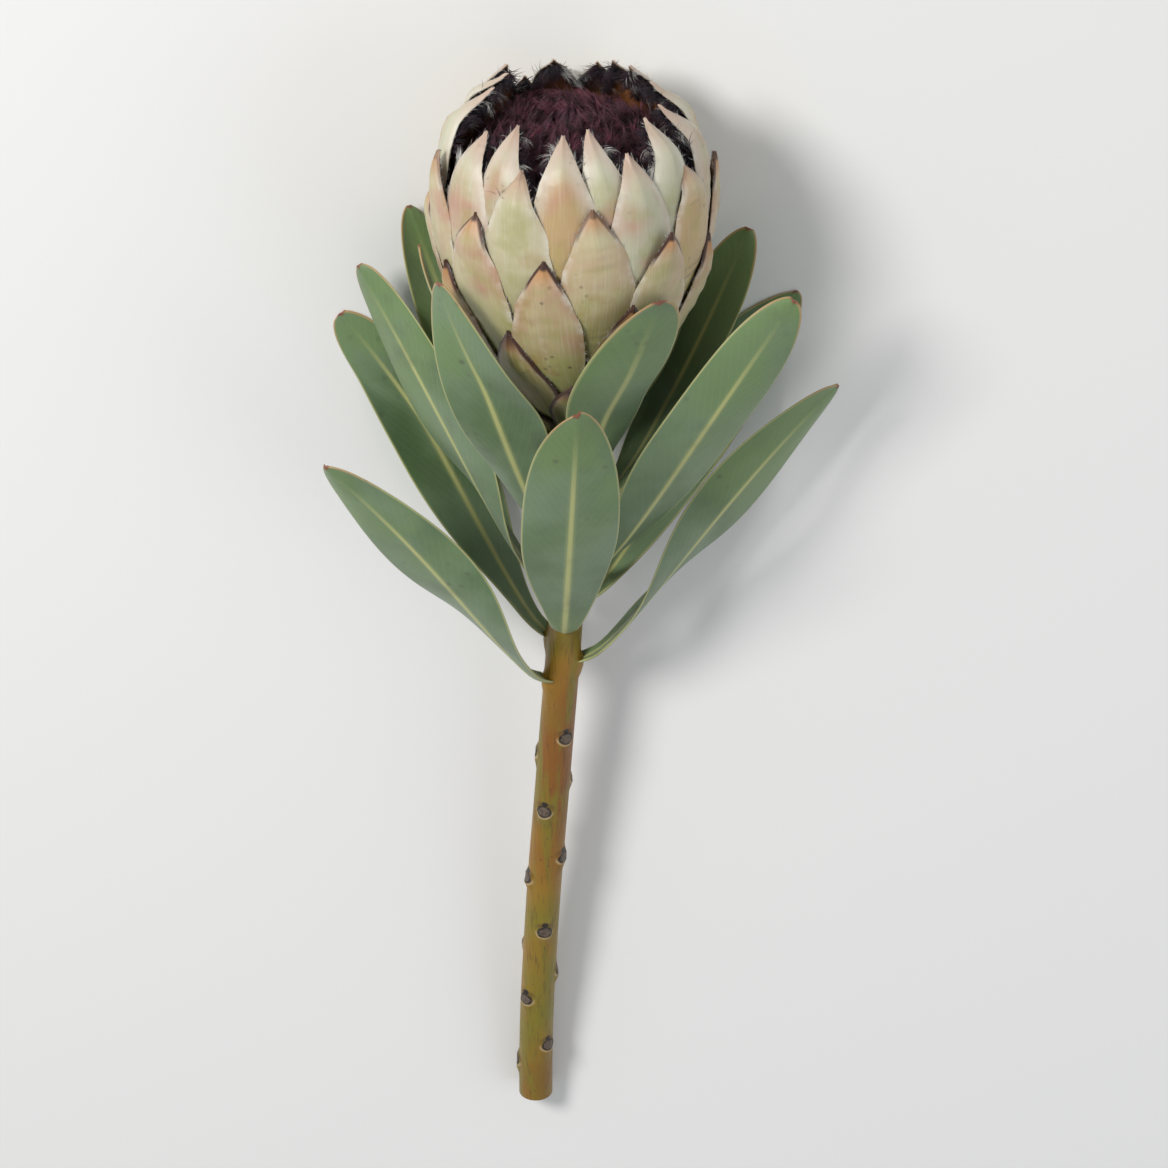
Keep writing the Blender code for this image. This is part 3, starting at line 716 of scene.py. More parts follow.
def thicken(sheet, thickest, shares):
    """Makes a closed blade of a sheet. shares gives each point's part of the full thickness. The second
    material goes on the side that the sheet's faces point away from."""
    group = sheet.vertex_groups.new(name="thickness")
    for index, share in enumerate(shares):
        group.add([index], share, "REPLACE")
    solidify = sheet.modifiers.new("thickness", "SOLIDIFY")
    solidify.thickness = thickest
    solidify.offset = 0.0
    solidify.vertex_group = group.name
    solidify.material_offset = 1
    bpy.context.view_layer.objects.active = sheet
    bpy.ops.object.modifier_apply(modifier=solidify.name)
    sheet.vertex_groups.clear()


def join_pieces(pieces, name):
    bpy.ops.object.select_all(action="DESELECT")
    for piece in pieces:
        piece.select_set(True)
    bpy.context.view_layer.objects.active = pieces[0]
    bpy.ops.object.join()
    joined = bpy.context.object
    joined.name = joined.data.name = name
    return joined


def bract_blade(bract, materials):
    blade = grid_sheet(f"bract_{bract.number:02d}", BRACT_COLUMNS, BRACT_ROWS)
    length = bract.tip - bract.root
    place, kind, shares = [], [], []
    for vertex in blade.data.vertices:
        across = vertex.co.x
        along = 1 - (1 - (vertex.co.y + 1) / 2) ** BRACT_ROW_CROWDING
        half_width = bract_half_width(bract, along)
        vertex.co = bract_point(bract, across, along)
        place.append((across * half_width, along * length, bract.number * BRACT_PATTERN_STEP))
        kind.append((bract.share, (1 - abs(across)) * half_width, (1 - along) * length))
        full = (1 - across**4) * ramp(1 - along, 0.0, BRACT_THINNED_TIP)
        shares.append(part_way(BRACT_EDGE_THICKNESS / BRACT_THICKNESS, 1.0, full))
    vector_attribute(blade, "bract_place", place)
    vector_attribute(blade, "bract_kind", kind)
    vector_attribute(blade, "bract_tone", [bract.tone] * len(place))
    for material in materials:
        blade.data.materials.append(material)
    thicken(blade, BRACT_THICKNESS, shares)
    return blade


def bract_outer_material():
    """Silky outside. Its colour goes by the bract's place in the spiral and by the distances from its tip
    and its edges, in metres."""
    material, tree, shader = new_material(
        "bract_outside", roughness=0.42, sheen_weight=0.25, sheen_roughness=0.35, subsurface_weight=0.08
    )
    shader.inputs["Subsurface Radius"].default_value = (0.006, 0.004, 0.002)
    where = object_place(tree)
    _, run, _, place = attribute_parts(tree, "bract_place")
    share, edge, from_tip, _ = attribute_parts(tree, "bract_kind")
    pink, gold, stained, _ = attribute_parts(tree, "bract_tone")
    blush = effect(tree, patches, Vector=place, Scale=50.0, Low=0.40, High=0.68)
    cloud = effect(tree, patches, Vector=place, Scale=95.0, Low=0.46, High=0.70)
    stain = effect(tree, patches, Vector=where, Scale=80.0, Low=0.56, High=0.70)
    matted = effect(tree, patches, Vector=place, Scale=170.0, Low=0.40, High=0.66)
    silk = effect(tree, fibres, Vector=place, Scale=1500.0, Stretch=0.035)
    dots = effect(tree, spots, Vector=where, Scale=260.0, Size=0.30)
    middle_part = times(tree, (from_tip, 0.002, 0.014), (from_tip, 0.066, 0.030))
    rosy_edge = times(tree, (edge, 0.0045, 0.0012), (from_tip, 0.045, 0.012))
    colour = painted(
        tree, BRACT_OLIVE,
        (BRACT_TAN, (share, 0.08, 0.26)),
        (BRACT_CREAM, (share, 0.22, 0.45)),
        (BRACT_WHITE, (share, 0.40, 0.75)),
        (BRACT_GOLD, (gold, 0.12, 0.50), (from_tip, 0.005, 0.016), 0.85),
        (BRACT_BLUSH, blush, middle_part, (pink, 0.05, 0.72), 0.90),
        (BRACT_GREEN, (from_tip, 0.024, 0.054), (share, 0.90, 0.35), 0.85),
        (BRACT_GREEN, cloud, 0.42),
        (BRACT_OCHRE, stain, (stained, 0.50, 0.95), (share, 0.95, 0.50), 0.60),
        # White silk hair in streaks, lightened further as a painted sheen.
        (BRACT_SILK_WHITE_AND_SHEEN, (silk, 0.46, 0.74), 0.20),
        (BRACT_TIP_PINK, rosy_edge, pink, 0.5),
        (BRACT_SILK_WHITE_AND_SHEEN, (edge, 0.0030, 0.0002), matted, 0.60),
        (BRACT_SILK_WHITE_AND_SHEEN, (edge, 0.0070, 0.0010), (share, 0.55, 0.80), 0.45),
        (BRACT_TIP_PINK, (from_tip, 0.011, 0.001), 0.60),
    )
    outer = between(tree, share, 0.72, 0.42)
    tip_line = times(tree, (edge, 0.0014, 0.0006), (from_tip, 0.014, 0.007))
    tip_dark = calc(tree, "MAXIMUM", tip_line, between(tree, from_tip, 0.0036, 0.0022))
    low_tips = times(tree, (share, 0.34, 0.16), (from_tip, 0.011, 0.003))
    low_rims = times(tree, (share, 0.34, 0.20), (edge, 0.0020, 0.0008))
    colour = painted(
        tree, colour,
        (BRACT_ORANGE, (from_tip, 0.010, 0.003), outer, 0.8),
        (BRACT_BROWN, tip_dark, outer),
        (BRACT_BROWN, calc(tree, "MAXIMUM", low_tips, low_rims)),
        (BRACT_BROWN, dots, (share, 1.0, 0.4), 0.8),
    )
    waver = effect(tree, patches, Vector=place, Scale=55.0, Low=0.20, High=0.80)
    phase = calc(tree, "ADD", times(tree, run, 1500.0), times(tree, waver, 6.0))
    folded_here = effect(tree, patches, Vector=place, Scale=48.0, Low=0.46, High=0.60)
    folded = times(tree, folded_here, (gold, 0.15, 0.55), (edge, 0.001, 0.006))
    folds = times(tree, calc(tree, "SINE", phase), folded, 0.5)
    relief = calc(tree, "ADD", times(tree, silk, 0.15), folds)
    roughness = calc(tree, "MULTIPLY_ADD", silk, 0.26, 0.31)
    finish_shader(tree, shader, colour, roughness, relief, 0.0007)
    return material


def bract_inner_material():
    """Glossy inside: cream at the tip, then amber or rust, and deep brown further down."""
    material, tree, shader = new_material(
        "bract_inside", roughness=0.38, coat_weight=0.15, coat_roughness=0.3
    )
    _, _, _, place = attribute_parts(tree, "bract_place")
    _, edge, from_tip, _ = attribute_parts(tree, "bract_kind")
    pink, _, _, _ = attribute_parts(tree, "bract_tone")
    amber = painted(tree, BRACT_AMBER, (BRACT_RUST, (pink, 0.35, 0.8)))
    cloud = effect(tree, patches, Vector=place, Scale=120.0, Low=0.40, High=0.65)
    silk = effect(tree, fibres, Vector=place, Scale=900.0, Stretch=0.04)
    colour = painted(
        tree, BRACT_INNER_TIP,
        (amber, (from_tip, 0.0045, 0.011)),
        (BRACT_DEEP, (from_tip, 0.022, 0.042)),
        (BRACT_INNER_TIP, cloud, (from_tip, 0.022, 0.006), 0.6),
        (BRACT_DEEP, (edge, 0.004, 0.001), (from_tip, 0.004, 0.012), 0.8),
        (BRACT_DEEP, (silk, 0.45, 0.72), 0.6),
    )
    finish_shader(tree, shader, colour, None, silk, 0.0003)
    return material


def make_bracts(drawn):
    materials = [bract_outer_material(), bract_inner_material()]
    bracts = join_pieces([bract_blade(bract, materials) for bract in drawn], "head_bracts")
    rest_on_surface(bracts)
    finished(bracts, "bract", stands_for=["bracts"])
    bracts.data.set_sharp_from_angle(angle=BRACT_SHARP_FROM)


def make_receptacle():
    """The widened end of the stem, in the skin of the lowest bracts."""
    receptacle = ringed_tube("receptacle", RECEPTACLE_SIDES, RECEPTACLE_CUTS)
    low, high = BRACT_ROOTS
    place, kind = [], []
    for vertex in receptacle.data.vertices:
        height = (vertex.co.z + 0.5) * SEAT_HEIGHT
        share = clamped((height - low) / (high - low))
        azimuth = math.atan2(vertex.co.x, vertex.co.y)
        place.append((azimuth * RECEPTACLE_PATTERN_RADIUS, height, 0.0))
        kind.append(RECEPTACLE_KIND)
        vertex.co = head_point(height, azimuth, layered_radius(share, height))
    vector_attribute(receptacle, "bract_place", place)
    vector_attribute(receptacle, "bract_kind", kind)
    vector_attribute(receptacle, "bract_tone", [(0.0, 0.0, 0.0)] * len(place))
    finished(receptacle, "bract", bpy.data.materials["bract_outside"])
    receptacle.data.set_sharp_from_angle(angle=RECEPTACLE_SHARP_FROM)


bracts_drawn = draw_bracts()
make_bracts(bracts_drawn)
make_receptacle()


# Flowers. Some hundreds of narrow florets stand packed on the receptacle inside the bracts, and their
# pointed ends close into a dome. Each is a slim bud that leans along the dome towards its top.

MASS_CLEARANCE = 0.0042
SEAT_RADIUS = 0.0185
SEAT_GAP = 0.0003
DOME_CENTRE = 0.087
DOME_RADIUS = 0.0355
DOME_HEIGHT = 0.0310
DOME_FLORET_SHARE = 0.86
MASS_SIDES = 64
MASS_CUTS = 39
MASS_DOME_FROM = 0.45
MASS_DOME_TO = 0.99
MASS_SEAT_RISE = 0.2
MASS_RIBS = 16
MASS_RIB_DEPTH = 0.02
FLORETS = 230
FLORET_LENGTH = 0.0105
FLORET_LENGTH_PLAY = (0.75, 1.0)
FLORET_RADIUS = 0.0016
FLORET_TIP = 0.04
FLORET_FULLNESS = (0.75, 0.45)
FLORET_FULL_UP_TO = 2 / 3
FLORET_SINK = 0.0030
FLORET_LEAN = 1.25
FLORET_LEAN_PLAY = (0.8, 1.2)
FLORET_SHIFT = 0.7
FLORET_SIDES = 7
FLORET_CUTS = 3
FLORET_SEED = 8

WOOL_DEEP = (0.024, 0.0050, 0.0110, 1.0)
WOOL_PLUM = (0.075, 0.0150, 0.0330, 1.0)
WOOL_MAUVE = (0.275, 0.0700, 0.1080, 1.0)

Floret = collections.namedtuple("Floret", "foot tip sideways")


def dome_point(polar):
    """(height, radius) on the dome, from 0 at its top to a quarter turn at its widest."""
    return DOME_CENTRE + DOME_HEIGHT * math.cos(polar), DOME_RADIUS * math.sin(polar)


def draw_florets():
    """Foot and tip of each floret, in a spiral over the dome."""
    chance = random.Random(FLORET_SEED)
    drawn = []
    for number in range(FLORETS):
        polar = math.acos(1 - DOME_FLORET_SHARE * (number + FLORET_SHIFT) / FLORETS)
        azimuth = number * GOLDEN_ANGLE
        height, radius = dome_point(polar)
        outwards = Vector((math.cos(polar) / DOME_HEIGHT, math.sin(polar) / DOME_RADIUS)).normalized()
        upwards = Vector((outwards.y, -outwards.x))
        lean = (outwards + upwards * FLORET_LEAN * chance.uniform(*FLORET_LEAN_PLAY)).normalized()
        stand = (FLORET_LENGTH - FLORET_SINK) * chance.uniform(*FLORET_LENGTH_PLAY)
        low = Vector((height, radius)) - lean * FLORET_SINK
        high = Vector((height, radius)) + lean * stand
        foot, tip = head_point(low.x, azimuth, low.y), head_point(high.x, azimuth, high.y)
        axis = (tip - foot).normalized()
        drawn.append(Floret(foot, tip, axis.cross(foot - head_point(low.x, azimuth, 0.0)).normalized()))
    return drawn


def wool_material(name, light, dark, glow):
    """Hair colour from dark at the root to light at the tip, as painted shade deep among the hairs, and by
    the hair's own tone.
    """
    material, tree, shader = new_material(name, roughness=0.55, sheen_weight=glow, sheen_roughness=0.4)
    tone, along, _, _ = attribute_parts(tree, "hair_tone")
    # Darker towards the root: painted shade deep among the hairs.
    colour = painted(tree, dark, (light, tone, (along, -0.4, 0.8)))
    finish_shader(tree, shader, colour)
    return material


def floret_model():
    """One bud: a narrow tube, fullest at its lower third and pointed."""
    bud = ringed_tube("bud", FLORET_SIDES, FLORET_CUTS)
    slim, fuller = FLORET_FULLNESS
    for vertex in bud.data.vertices:
        along = vertex.co.z + 0.5
        full = slim + fuller * math.sin(math.pi * min(along / FLORET_FULL_UP_TO, 1.0))
        full *= math.sqrt(max(1 - along, 0.0))
        vertex.co.x *= full + FLORET_TIP
        vertex.co.y *= full + FLORET_TIP
        vertex.co.z = along
    return bud


def make_florets(drawn):
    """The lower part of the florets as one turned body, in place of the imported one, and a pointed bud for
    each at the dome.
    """
    core = ringed_tube("florets", MASS_SIDES, MASS_CUTS)
    seat = SEAT_HEIGHT + SEAT_GAP
    for vertex in core.data.vertices:
        along = vertex.co.z + 0.5
        azimuth = math.atan2(vertex.co.x, vertex.co.y)
        if along < MASS_DOME_FROM:
            up = along / MASS_DOME_FROM
            height = part_way(seat, DOME_CENTRE, up)
            inside = min(layered_radius(1.0, height) - MASS_CLEARANCE, DOME_RADIUS)
            radius = part_way(SEAT_RADIUS, inside, ramp(up, 0.0, MASS_SEAT_RISE))
        else:
            up = (along - MASS_DOME_FROM) / (1 - MASS_DOME_FROM)
            height, radius = dome_point(math.pi / 2 * (1 - up * MASS_DOME_TO))
        radius *= 1 + MASS_RIB_DEPTH * math.sin(azimuth * MASS_RIBS)
        vertex.co = head_point(height, azimuth, radius)
    model = floret_model()
    buds = []
    for floret in drawn:
        axis = floret.tip - floret.foot
        ahead = axis.normalized()
        side = floret.sideways
        bud = model.copy()
        bud.data = model.data.copy()
        bpy.context.scene.collection.objects.link(bud)
        frame_of_bud = Matrix((side * FLORET_RADIUS, ahead.cross(side) * FLORET_RADIUS, axis)).transposed()
        bud.data.transform(Matrix.Translation(floret.foot) @ frame_of_bud.to_4x4())
        buds.append(bud)
    bpy.data.objects.remove(model)
    florets = join_pieces([core] + buds, "florets")
    material, tree, shader = new_material("floret_skin", roughness=0.7)
    grain = effect(tree, patches, Vector=object_place(tree), Scale=400.0, Low=0.35, High=0.65)
    finish_shader(tree, shader, painted(tree, WOOL_DEEP, (WOOL_PLUM, grain)), None, grain, 0.0003)
    finished(florets, "flower_wool", material, stands_for=["flower_mass"])


florets_drawn = draw_florets()
make_florets(florets_drawn)


# Wool. The florets' ends are covered in plum-coloured hair, matted into locks that are combed up towards
# the top of the dome in soft swirls. Every hair is a slim tapered thread rooted on a floret.

WOOL_SEED = 21
WOOL_LOCKS = 1440
WOOL_SEGMENTS = 3
WOOL_ROOTS = (0.10, 0.80)
WOOL_ROOT_DEPTH = 0.8
WOOL_SWIRL = 0.80
WOOL_SWIRL_WAVES = (95.0, 90.0, 120.0)
WOOL_SWIRL_SHIFT = 0.8
WOOL_CROSS_SWIRL = 0.7
WOOL_LIFT = 0.10
WOOL_STRAY = 0.30
WOOL_INWARDS = 0.6
WOOL_SIDE_STRAY = 0.6
WOOL_HOLLOW_HEIGHT = 0.0295
WOOL_HOLLOW_AZIMUTH = math.radians(-50.0)
WOOL_HOLLOW_RADIUS = 0.0105
WOOL_HOLLOW_REACH = 0.014
WOOL_HOLLOW_TURN = 1.4
WOOL_HOLLOW_FLATTEN = 0.4
WOOL_HOLLOW_PULL = 1.2
WOOL_HOLLOW_LIFT = 0.3
WOOL_HOLLOW_PAINTED_SHADE = (-0.003, 0.006)
WOOL_TONE_POWER = 1.5
HAIR_TAPER = 0.70
HAIR_WIDTH_PLAY = (0.7, 1.2)
HAIR_TONE_PLAY = 0.22

Hair = collections.namedtuple("Hair", "root ahead towards length width curl tone")
Lock = collections.namedtuple("Lock", "hairs spread looseness length width curl")
WOOL_LOCK = Lock(
    hairs=12, spread=0.0013, looseness=0.20, length=(0.0042, 0.0080), width=0.00021, curl=(0.5, 1.9)
)


def random_vector(chance):
    while True:
        v = Vector((chance.uniform(-1, 1), chance.uniform(-1, 1), chance.uniform(-1, 1)))
        if 0.1 < v.length <= 1:
            return v.normalized()


def add_lock(hairs, chance, lock, place, ahead, towards, tone):
    """Hairs that grow close together and turn the same way. Their lengths and curls are drawn between two
    numbers."""
    ahead = ahead.normalized()
    for _ in range(lock.hairs):
        hairs.append(Hair(
            place + random_vector(chance) * lock.spread * chance.random(),
            ahead + random_vector(chance) * lock.looseness,
            towards + random_vector(chance) * lock.looseness * 2,
            chance.uniform(*lock.length),
            lock.width * chance.uniform(*HAIR_WIDTH_PLAY),
            chance.uniform(*lock.curl),
            clamped(tone + chance.uniform(-HAIR_TONE_PLAY, HAIR_TONE_PLAY)),
        ))


def unit_rows(array):
    return array / np.maximum(np.linalg.norm(array, axis=1, keepdims=True), 1e-9)


def hair_mesh(name, hairs, segments, material_slot, material):
    """Three-sided threads, each turning towards a side as it grows and ending in a point."""
    root = np.array([h.root for h in hairs])
    ahead = unit_rows(np.array([h.ahead for h in hairs]))
    axis = unit_rows(np.cross(ahead, np.array([h.towards for h in hairs])))
    numbers = ("length", "width", "curl", "tone")
    length, width, curl, tone = (np.array([getattr(h, n) for h in hairs])[:, None] for n in numbers)
    count, per_hair = len(hairs), 3 * segments + 1
    points = np.zeros((count, per_hair, 3))
    tones = np.zeros((count, per_hair, 3))
    tones[:, :, 0] = tone
    place = root
    for ring in range(segments):
        half = width / 2 * (1 - HAIR_TAPER * ring / segments)
        across = np.cross(ahead, axis)
        for corner in range(3):
            turn = 2 * math.pi * corner / 3
            points[:, 3 * ring + corner] = place + half * (axis * math.cos(turn) + across * math.sin(turn))
            tones[:, 3 * ring + corner, 1] = ring / segments
        turn = curl / segments
        ahead = ahead * np.cos(turn) + np.cross(axis, ahead) * np.sin(turn)
        place = place + ahead * length / segments
    points[:, -1] = place
    tones[:, -1, 1] = 1.0
    pattern = [(2, 1, 0)]
    for ring in range(segments - 1):
        for corner in range(3):
            a, b = 3 * ring + corner, 3 * ring + (corner + 1) % 3
            pattern += [(a, b, b + 3), (a, b + 3, a + 3)]
    last = 3 * (segments - 1)
    pattern += [(last + corner, last + (corner + 1) % 3, per_hair - 1) for corner in range(3)]
    faces = np.array(pattern)[None] + (np.arange(count) * per_hair)[:, None, None]
    points[:, :, 2] = np.maximum(points[:, :, 2], 0.0)
    mesh = bpy.data.meshes.new(name)
    mesh.from_pydata(points.reshape(-1, 3).tolist(), [], faces.reshape(-1, 3).tolist())
    piece = bpy.data.objects.new(name, mesh)
    bpy.context.scene.collection.objects.link(piece)
    vector_attribute(piece, "hair_tone", tones.reshape(-1, 3))
    finished(piece, material_slot, material)


def make_wool(drawn):
    chance = random.Random(WOOL_SEED)
    middle = head_point(DOME_CENTRE, 0.0, 0.0)
    hollow = head_point(DOME_CENTRE + WOOL_HOLLOW_HEIGHT, WOOL_HOLLOW_AZIMUTH, WOOL_HOLLOW_RADIUS)
    wave_x, wave_y, wave_z = WOOL_SWIRL_WAVES
    hairs = []
    for _ in range(WOOL_LOCKS):
        floret = chance.choice(drawn)
        axis = (floret.tip - floret.foot).normalized()
        outwards = (floret.tip - middle).normalized()
        turn = chance.uniform(0, 2 * math.pi)
        off = floret.sideways * math.cos(turn) + axis.cross(floret.sideways) * math.sin(turn)
        root = floret.foot.lerp(floret.tip, chance.uniform(*WOOL_ROOTS))
        root += off * FLORET_RADIUS * WOOL_ROOT_DEPTH
        swirl = HEAD_AXIS.cross(outwards)
        cross_swirl = WOOL_CROSS_SWIRL * math.sin(root.z * wave_z - root.y * wave_y)
        swirl *= math.sin(root.x * wave_x + WOOL_SWIRL_SHIFT) + cross_swirl
        ahead = axis + swirl * WOOL_SWIRL + outwards * WOOL_LIFT + random_vector(chance) * WOOL_STRAY
        towards = swirl - outwards * WOOL_INWARDS + random_vector(chance) * WOOL_SIDE_STRAY
        off_hollow = root - hollow
        near_hollow = math.exp(-((off_hollow.length / WOOL_HOLLOW_REACH) ** 2))
        round_hollow = outwards.cross(off_hollow).normalized()
        ahead += (round_hollow * WOOL_HOLLOW_TURN - axis * WOOL_HOLLOW_FLATTEN) * near_hollow
        pull = off_hollow.normalized() * WOOL_HOLLOW_PULL - outwards * WOOL_HOLLOW_LIFT
        towards -= pull * near_hollow
        # Hairs near the hollow are darkened: painted shade in the hollow.
        tone = chance.random() ** WOOL_TONE_POWER * ramp(off_hollow.length, *WOOL_HOLLOW_PAINTED_SHADE)
        add_lock(hairs, chance, WOOL_LOCK, root, ahead, towards, tone)
    hairs.sort(key=lambda hair: hair.root.dot(HEAD_AXIS))
    half = len(hairs) // 2
    material = wool_material("plum_wool", WOOL_MAUVE, WOOL_DEEP, 0.05)
    hair_mesh("wool_round_the_dome", hairs[:half], WOOL_SEGMENTS, "flower_wool", material)
    hair_mesh("wool_on_the_dome", hairs[half:], WOOL_SEGMENTS, "flower_wool", material)


make_wool(florets_drawn)


# Beard. Curly tufts of purple-black hair stand all round the tips of the inner bracts, on their inner face
# and along their edges, and fill the gaps between them. A short white silky fringe lines the edges, and
# long white strands swirl among the black. The tips of the outer bracts have only a short dark fringe.

BEARD_SEED = 33
TUFT_FIRST_BRACT = 28
TUFT_SEGMENTS = 4
TUFT_DEPTH = 0.0013
EDGE_TUFT_SPACING = 0.0013
EDGE_TUFT_REACH = (0.012, 0.018)
EDGE_TUFT_SHARES = (0.55, 0.80)
EDGE_TUFT_START = 0.0015
EDGE_TUFT_CROWDING = 1.15
EDGE_TUFT_ACROSS = (0.90, 0.99)
EDGE_TUFT_SIZES = (0.60, 1.10)
EDGE_TUFT_SWELL = (0.75, 0.65)
EDGE_TUFT_TIPWARDS = 0.6
EDGE_TUFT_STRAY = 0.8
TIP_TUFTS = (3.0, 16.2)
TIP_TUFT_REACH = (0.0022, 0.0075)
TIP_TUFT_ACROSS = (-0.9, 0.9)
TIP_TUFT_STRAY = 0.5
LASH_FIRST_BRACT = 8
LASH_REACH = (0.00024, 0.006)
LASH_ACROSS = (0.94, 1.0)
LASH_TONE = 0.3
LASHES = 40
SILK_REACH = (0.0015, 0.040)
SILK_REACH_SHARE = 0.8
SILK_ACROSS = (0.93, 1.0)
SILK_GROWTH = 0.75
SILK_GROWTH_SHARES = (0.45, 0.75)
SILKS_PER_METRE = 2300
SILK_WAVES = 430.0
SILK_THINNEST = 0.25
SILK_SEGMENTS = 3
WISPS = (2, 4)
WISP_REACH = (0.004, 0.015)
WISP_ACROSS = (0.35, 0.98)
WISP_SHORTEST = 0.65
WISP_CURL_PLAY = 0.3
WISP_TONES = (0.6, 1.0)
WISP_INWARDS = 0.2

EDGE_TUFT = Lock(
    hairs=12, spread=0.0009, looseness=0.34, length=(0.0034, 0.0072), width=0.00025, curl=(0.4, 2.3)
)
TIP_TUFT = EDGE_TUFT._replace(curl=(0.2, 1.7))
LASH = Lock(hairs=1, spread=0.0, looseness=0.3, length=(0.0005, 0.0011), width=0.00017, curl=(0.0, 1.0))
SILK = Lock(hairs=1, spread=0.0, looseness=0.4, length=(0.0010, 0.0020), width=0.00019, curl=(0.2, 1.4))
WISP = Lock(
    hairs=26, spread=0.0015, looseness=0.10, length=(0.0065, 0.0125), width=0.00019, curl=(0.4, 3.2)
)

BEARD_BLACK = (0.010, 0.006, 0.012, 1.0)
BEARD_PURPLE = (0.055, 0.018, 0.034, 1.0)
SILK_WHITE = (0.820, 0.800, 0.750, 1.0)
SILK_SHADED_GREY = (0.460, 0.440, 0.400, 1.0)

Spot = collections.namedtuple("Spot", "point sideways tipwards outwards")


def spot_on_bract(bract, across, from_tip):
    """A point of a bract's middle sheet with its directions. sideways goes away from the middle line."""
    step = 0.02
    along = 1 - from_tip / (bract.tip - bract.root)
    point = bract_point(bract, across, along)
    left = bract_point(bract, max(across - step, -1.0), along)
    right = bract_point(bract, min(across + step, 1.0), along)
    back = bract_point(bract, across, along - step)
    tipwards = (point - back).normalized()
    sideways = (right - left).normalized()
    outwards = sideways.cross(tipwards).normalized()
    return Spot(point, sideways * math.copysign(1.0, across), tipwards, outwards)


def drawn_way(chance, spot, **ways):
    """A direction at a spot on a bract. How far it goes each way is drawn between two numbers."""
    steps = [getattr(spot, way) * chance.uniform(*reach) for way, reach in ways.items()]
    return sum(steps, Vector())


def resized(lock, least, most):
    """The lock, with the two ends of its hairs' range of lengths multiplied."""
    return lock._replace(length=(lock.length[0] * least, lock.length[1] * most))


def edge_tufts(bract, chance, hairs):
    reach = part_way(*EDGE_TUFT_REACH, ramp(bract.share, *EDGE_TUFT_SHARES))
    spacing = EDGE_TUFT_SPACING / 2 / reach
    short, longer = EDGE_TUFT_SWELL
    for number in range(int(1 / spacing)):
        from_tip = EDGE_TUFT_START + reach * ((number + chance.random()) * spacing) ** EDGE_TUFT_CROWDING
        side = 1 if number % 2 else -1
        spot = spot_on_bract(bract, side * chance.uniform(*EDGE_TUFT_ACROSS), from_tip)
        ahead = drawn_way(chance, spot, sideways=(0.3, 1.3), tipwards=(0.0, 1.2), outwards=(0.05, -0.45))
        towards = spot.tipwards * EDGE_TUFT_TIPWARDS - spot.outwards
        towards += random_vector(chance) * EDGE_TUFT_STRAY
        size = chance.uniform(*EDGE_TUFT_SIZES)
        size *= short + longer * math.sin(math.pi * min(from_tip / reach, 1.0))
        place = spot.point - spot.outwards * TUFT_DEPTH
        add_lock(hairs, chance, resized(EDGE_TUFT, size, size), place, ahead, towards, chance.random() ** 2)


def tip_tufts(bract, chance, hairs):
    for _ in range(round(part_way(*TIP_TUFTS, bract.tone[2]))):
        from_tip = chance.uniform(*TIP_TUFT_REACH)
        spot = spot_on_bract(bract, chance.uniform(*TIP_TUFT_ACROSS), from_tip)
        ahead = drawn_way(chance, spot, tipwards=(0.5, 1.3), outwards=(-0.1, -0.7), sideways=(-0.9, 0.9))
        towards = random_vector(chance) * TIP_TUFT_STRAY - spot.outwards
        place = spot.point - spot.outwards * TUFT_DEPTH
        add_lock(hairs, chance, TIP_TUFT, place, ahead, towards, chance.random() ** 2)


def short_lashes(bract, chance, hairs):
    for _ in range(LASHES):
        across = chance.choice((-1.0, 1.0)) * chance.uniform(*LASH_ACROSS)
        spot = spot_on_bract(bract, across, chance.uniform(*LASH_REACH))
        ahead = drawn_way(chance, spot, sideways=(0.2, 0.8), tipwards=(0.3, 1.2), outwards=(0.1, -0.7))
        add_lock(hairs, chance, LASH, spot.point, ahead, spot.tipwards, LASH_TONE)


def edge_silk(bract, chance, hairs):
    """The silky fringe. It is thick and thin by turns, and longer on the inner bracts."""
    low, high = SILK_REACH
    high = min(high, (bract.tip - bract.root) * SILK_REACH_SHARE)
    lock = resized(SILK, 1.0, 1 + SILK_GROWTH * ramp(bract.share, *SILK_GROWTH_SHARES))
    for _ in range(int(2 * (high - low) * SILKS_PER_METRE)):
        side = chance.choice((-1.0, 1.0))
        from_tip = chance.uniform(low, high)
        thick_here = 0.5 + 0.5 * math.sin(from_tip * SILK_WAVES + side * 2.0 + bract.phase)
        if chance.random() > part_way(SILK_THINNEST, 1.0, thick_here):
            continue
        spot = spot_on_bract(bract, side * chance.uniform(*SILK_ACROSS), from_tip)
        ahead = drawn_way(chance, spot, sideways=(0.2, 1.0), tipwards=(0.3, 1.4), outwards=(-0.25, 0.20))
        add_lock(hairs, chance, lock, spot.point, ahead, spot.tipwards, chance.random())


def white_wisps(bract, chance, hairs):
    """Long loose strands in the gaps between the tips. The hairs of a strand bend alike."""
    for _ in range(chance.randint(*WISPS)):
        across = chance.choice((-1.0, 1.0)) * chance.uniform(*WISP_ACROSS)
        spot = spot_on_bract(bract, across, chance.uniform(*WISP_REACH))
        ahead = drawn_way(chance, spot, tipwards=(0.5, 1.2), sideways=(0.1, 0.8), outwards=(0.1, -0.3))
        towards = drawn_way(chance, spot, sideways=(-0.6, 1.0), tipwards=(-0.2, -0.8))
        towards -= spot.outwards * WISP_INWARDS
        length = chance.uniform(*WISP.length)
        curl = chance.uniform(*WISP.curl)
        lock = WISP._replace(
            length=(length * WISP_SHORTEST, length), curl=(curl - WISP_CURL_PLAY, curl + WISP_CURL_PLAY)
        )
        place = spot.point - spot.outwards * TUFT_DEPTH
        add_lock(hairs, chance, lock, place, ahead, towards, chance.uniform(*WISP_TONES))


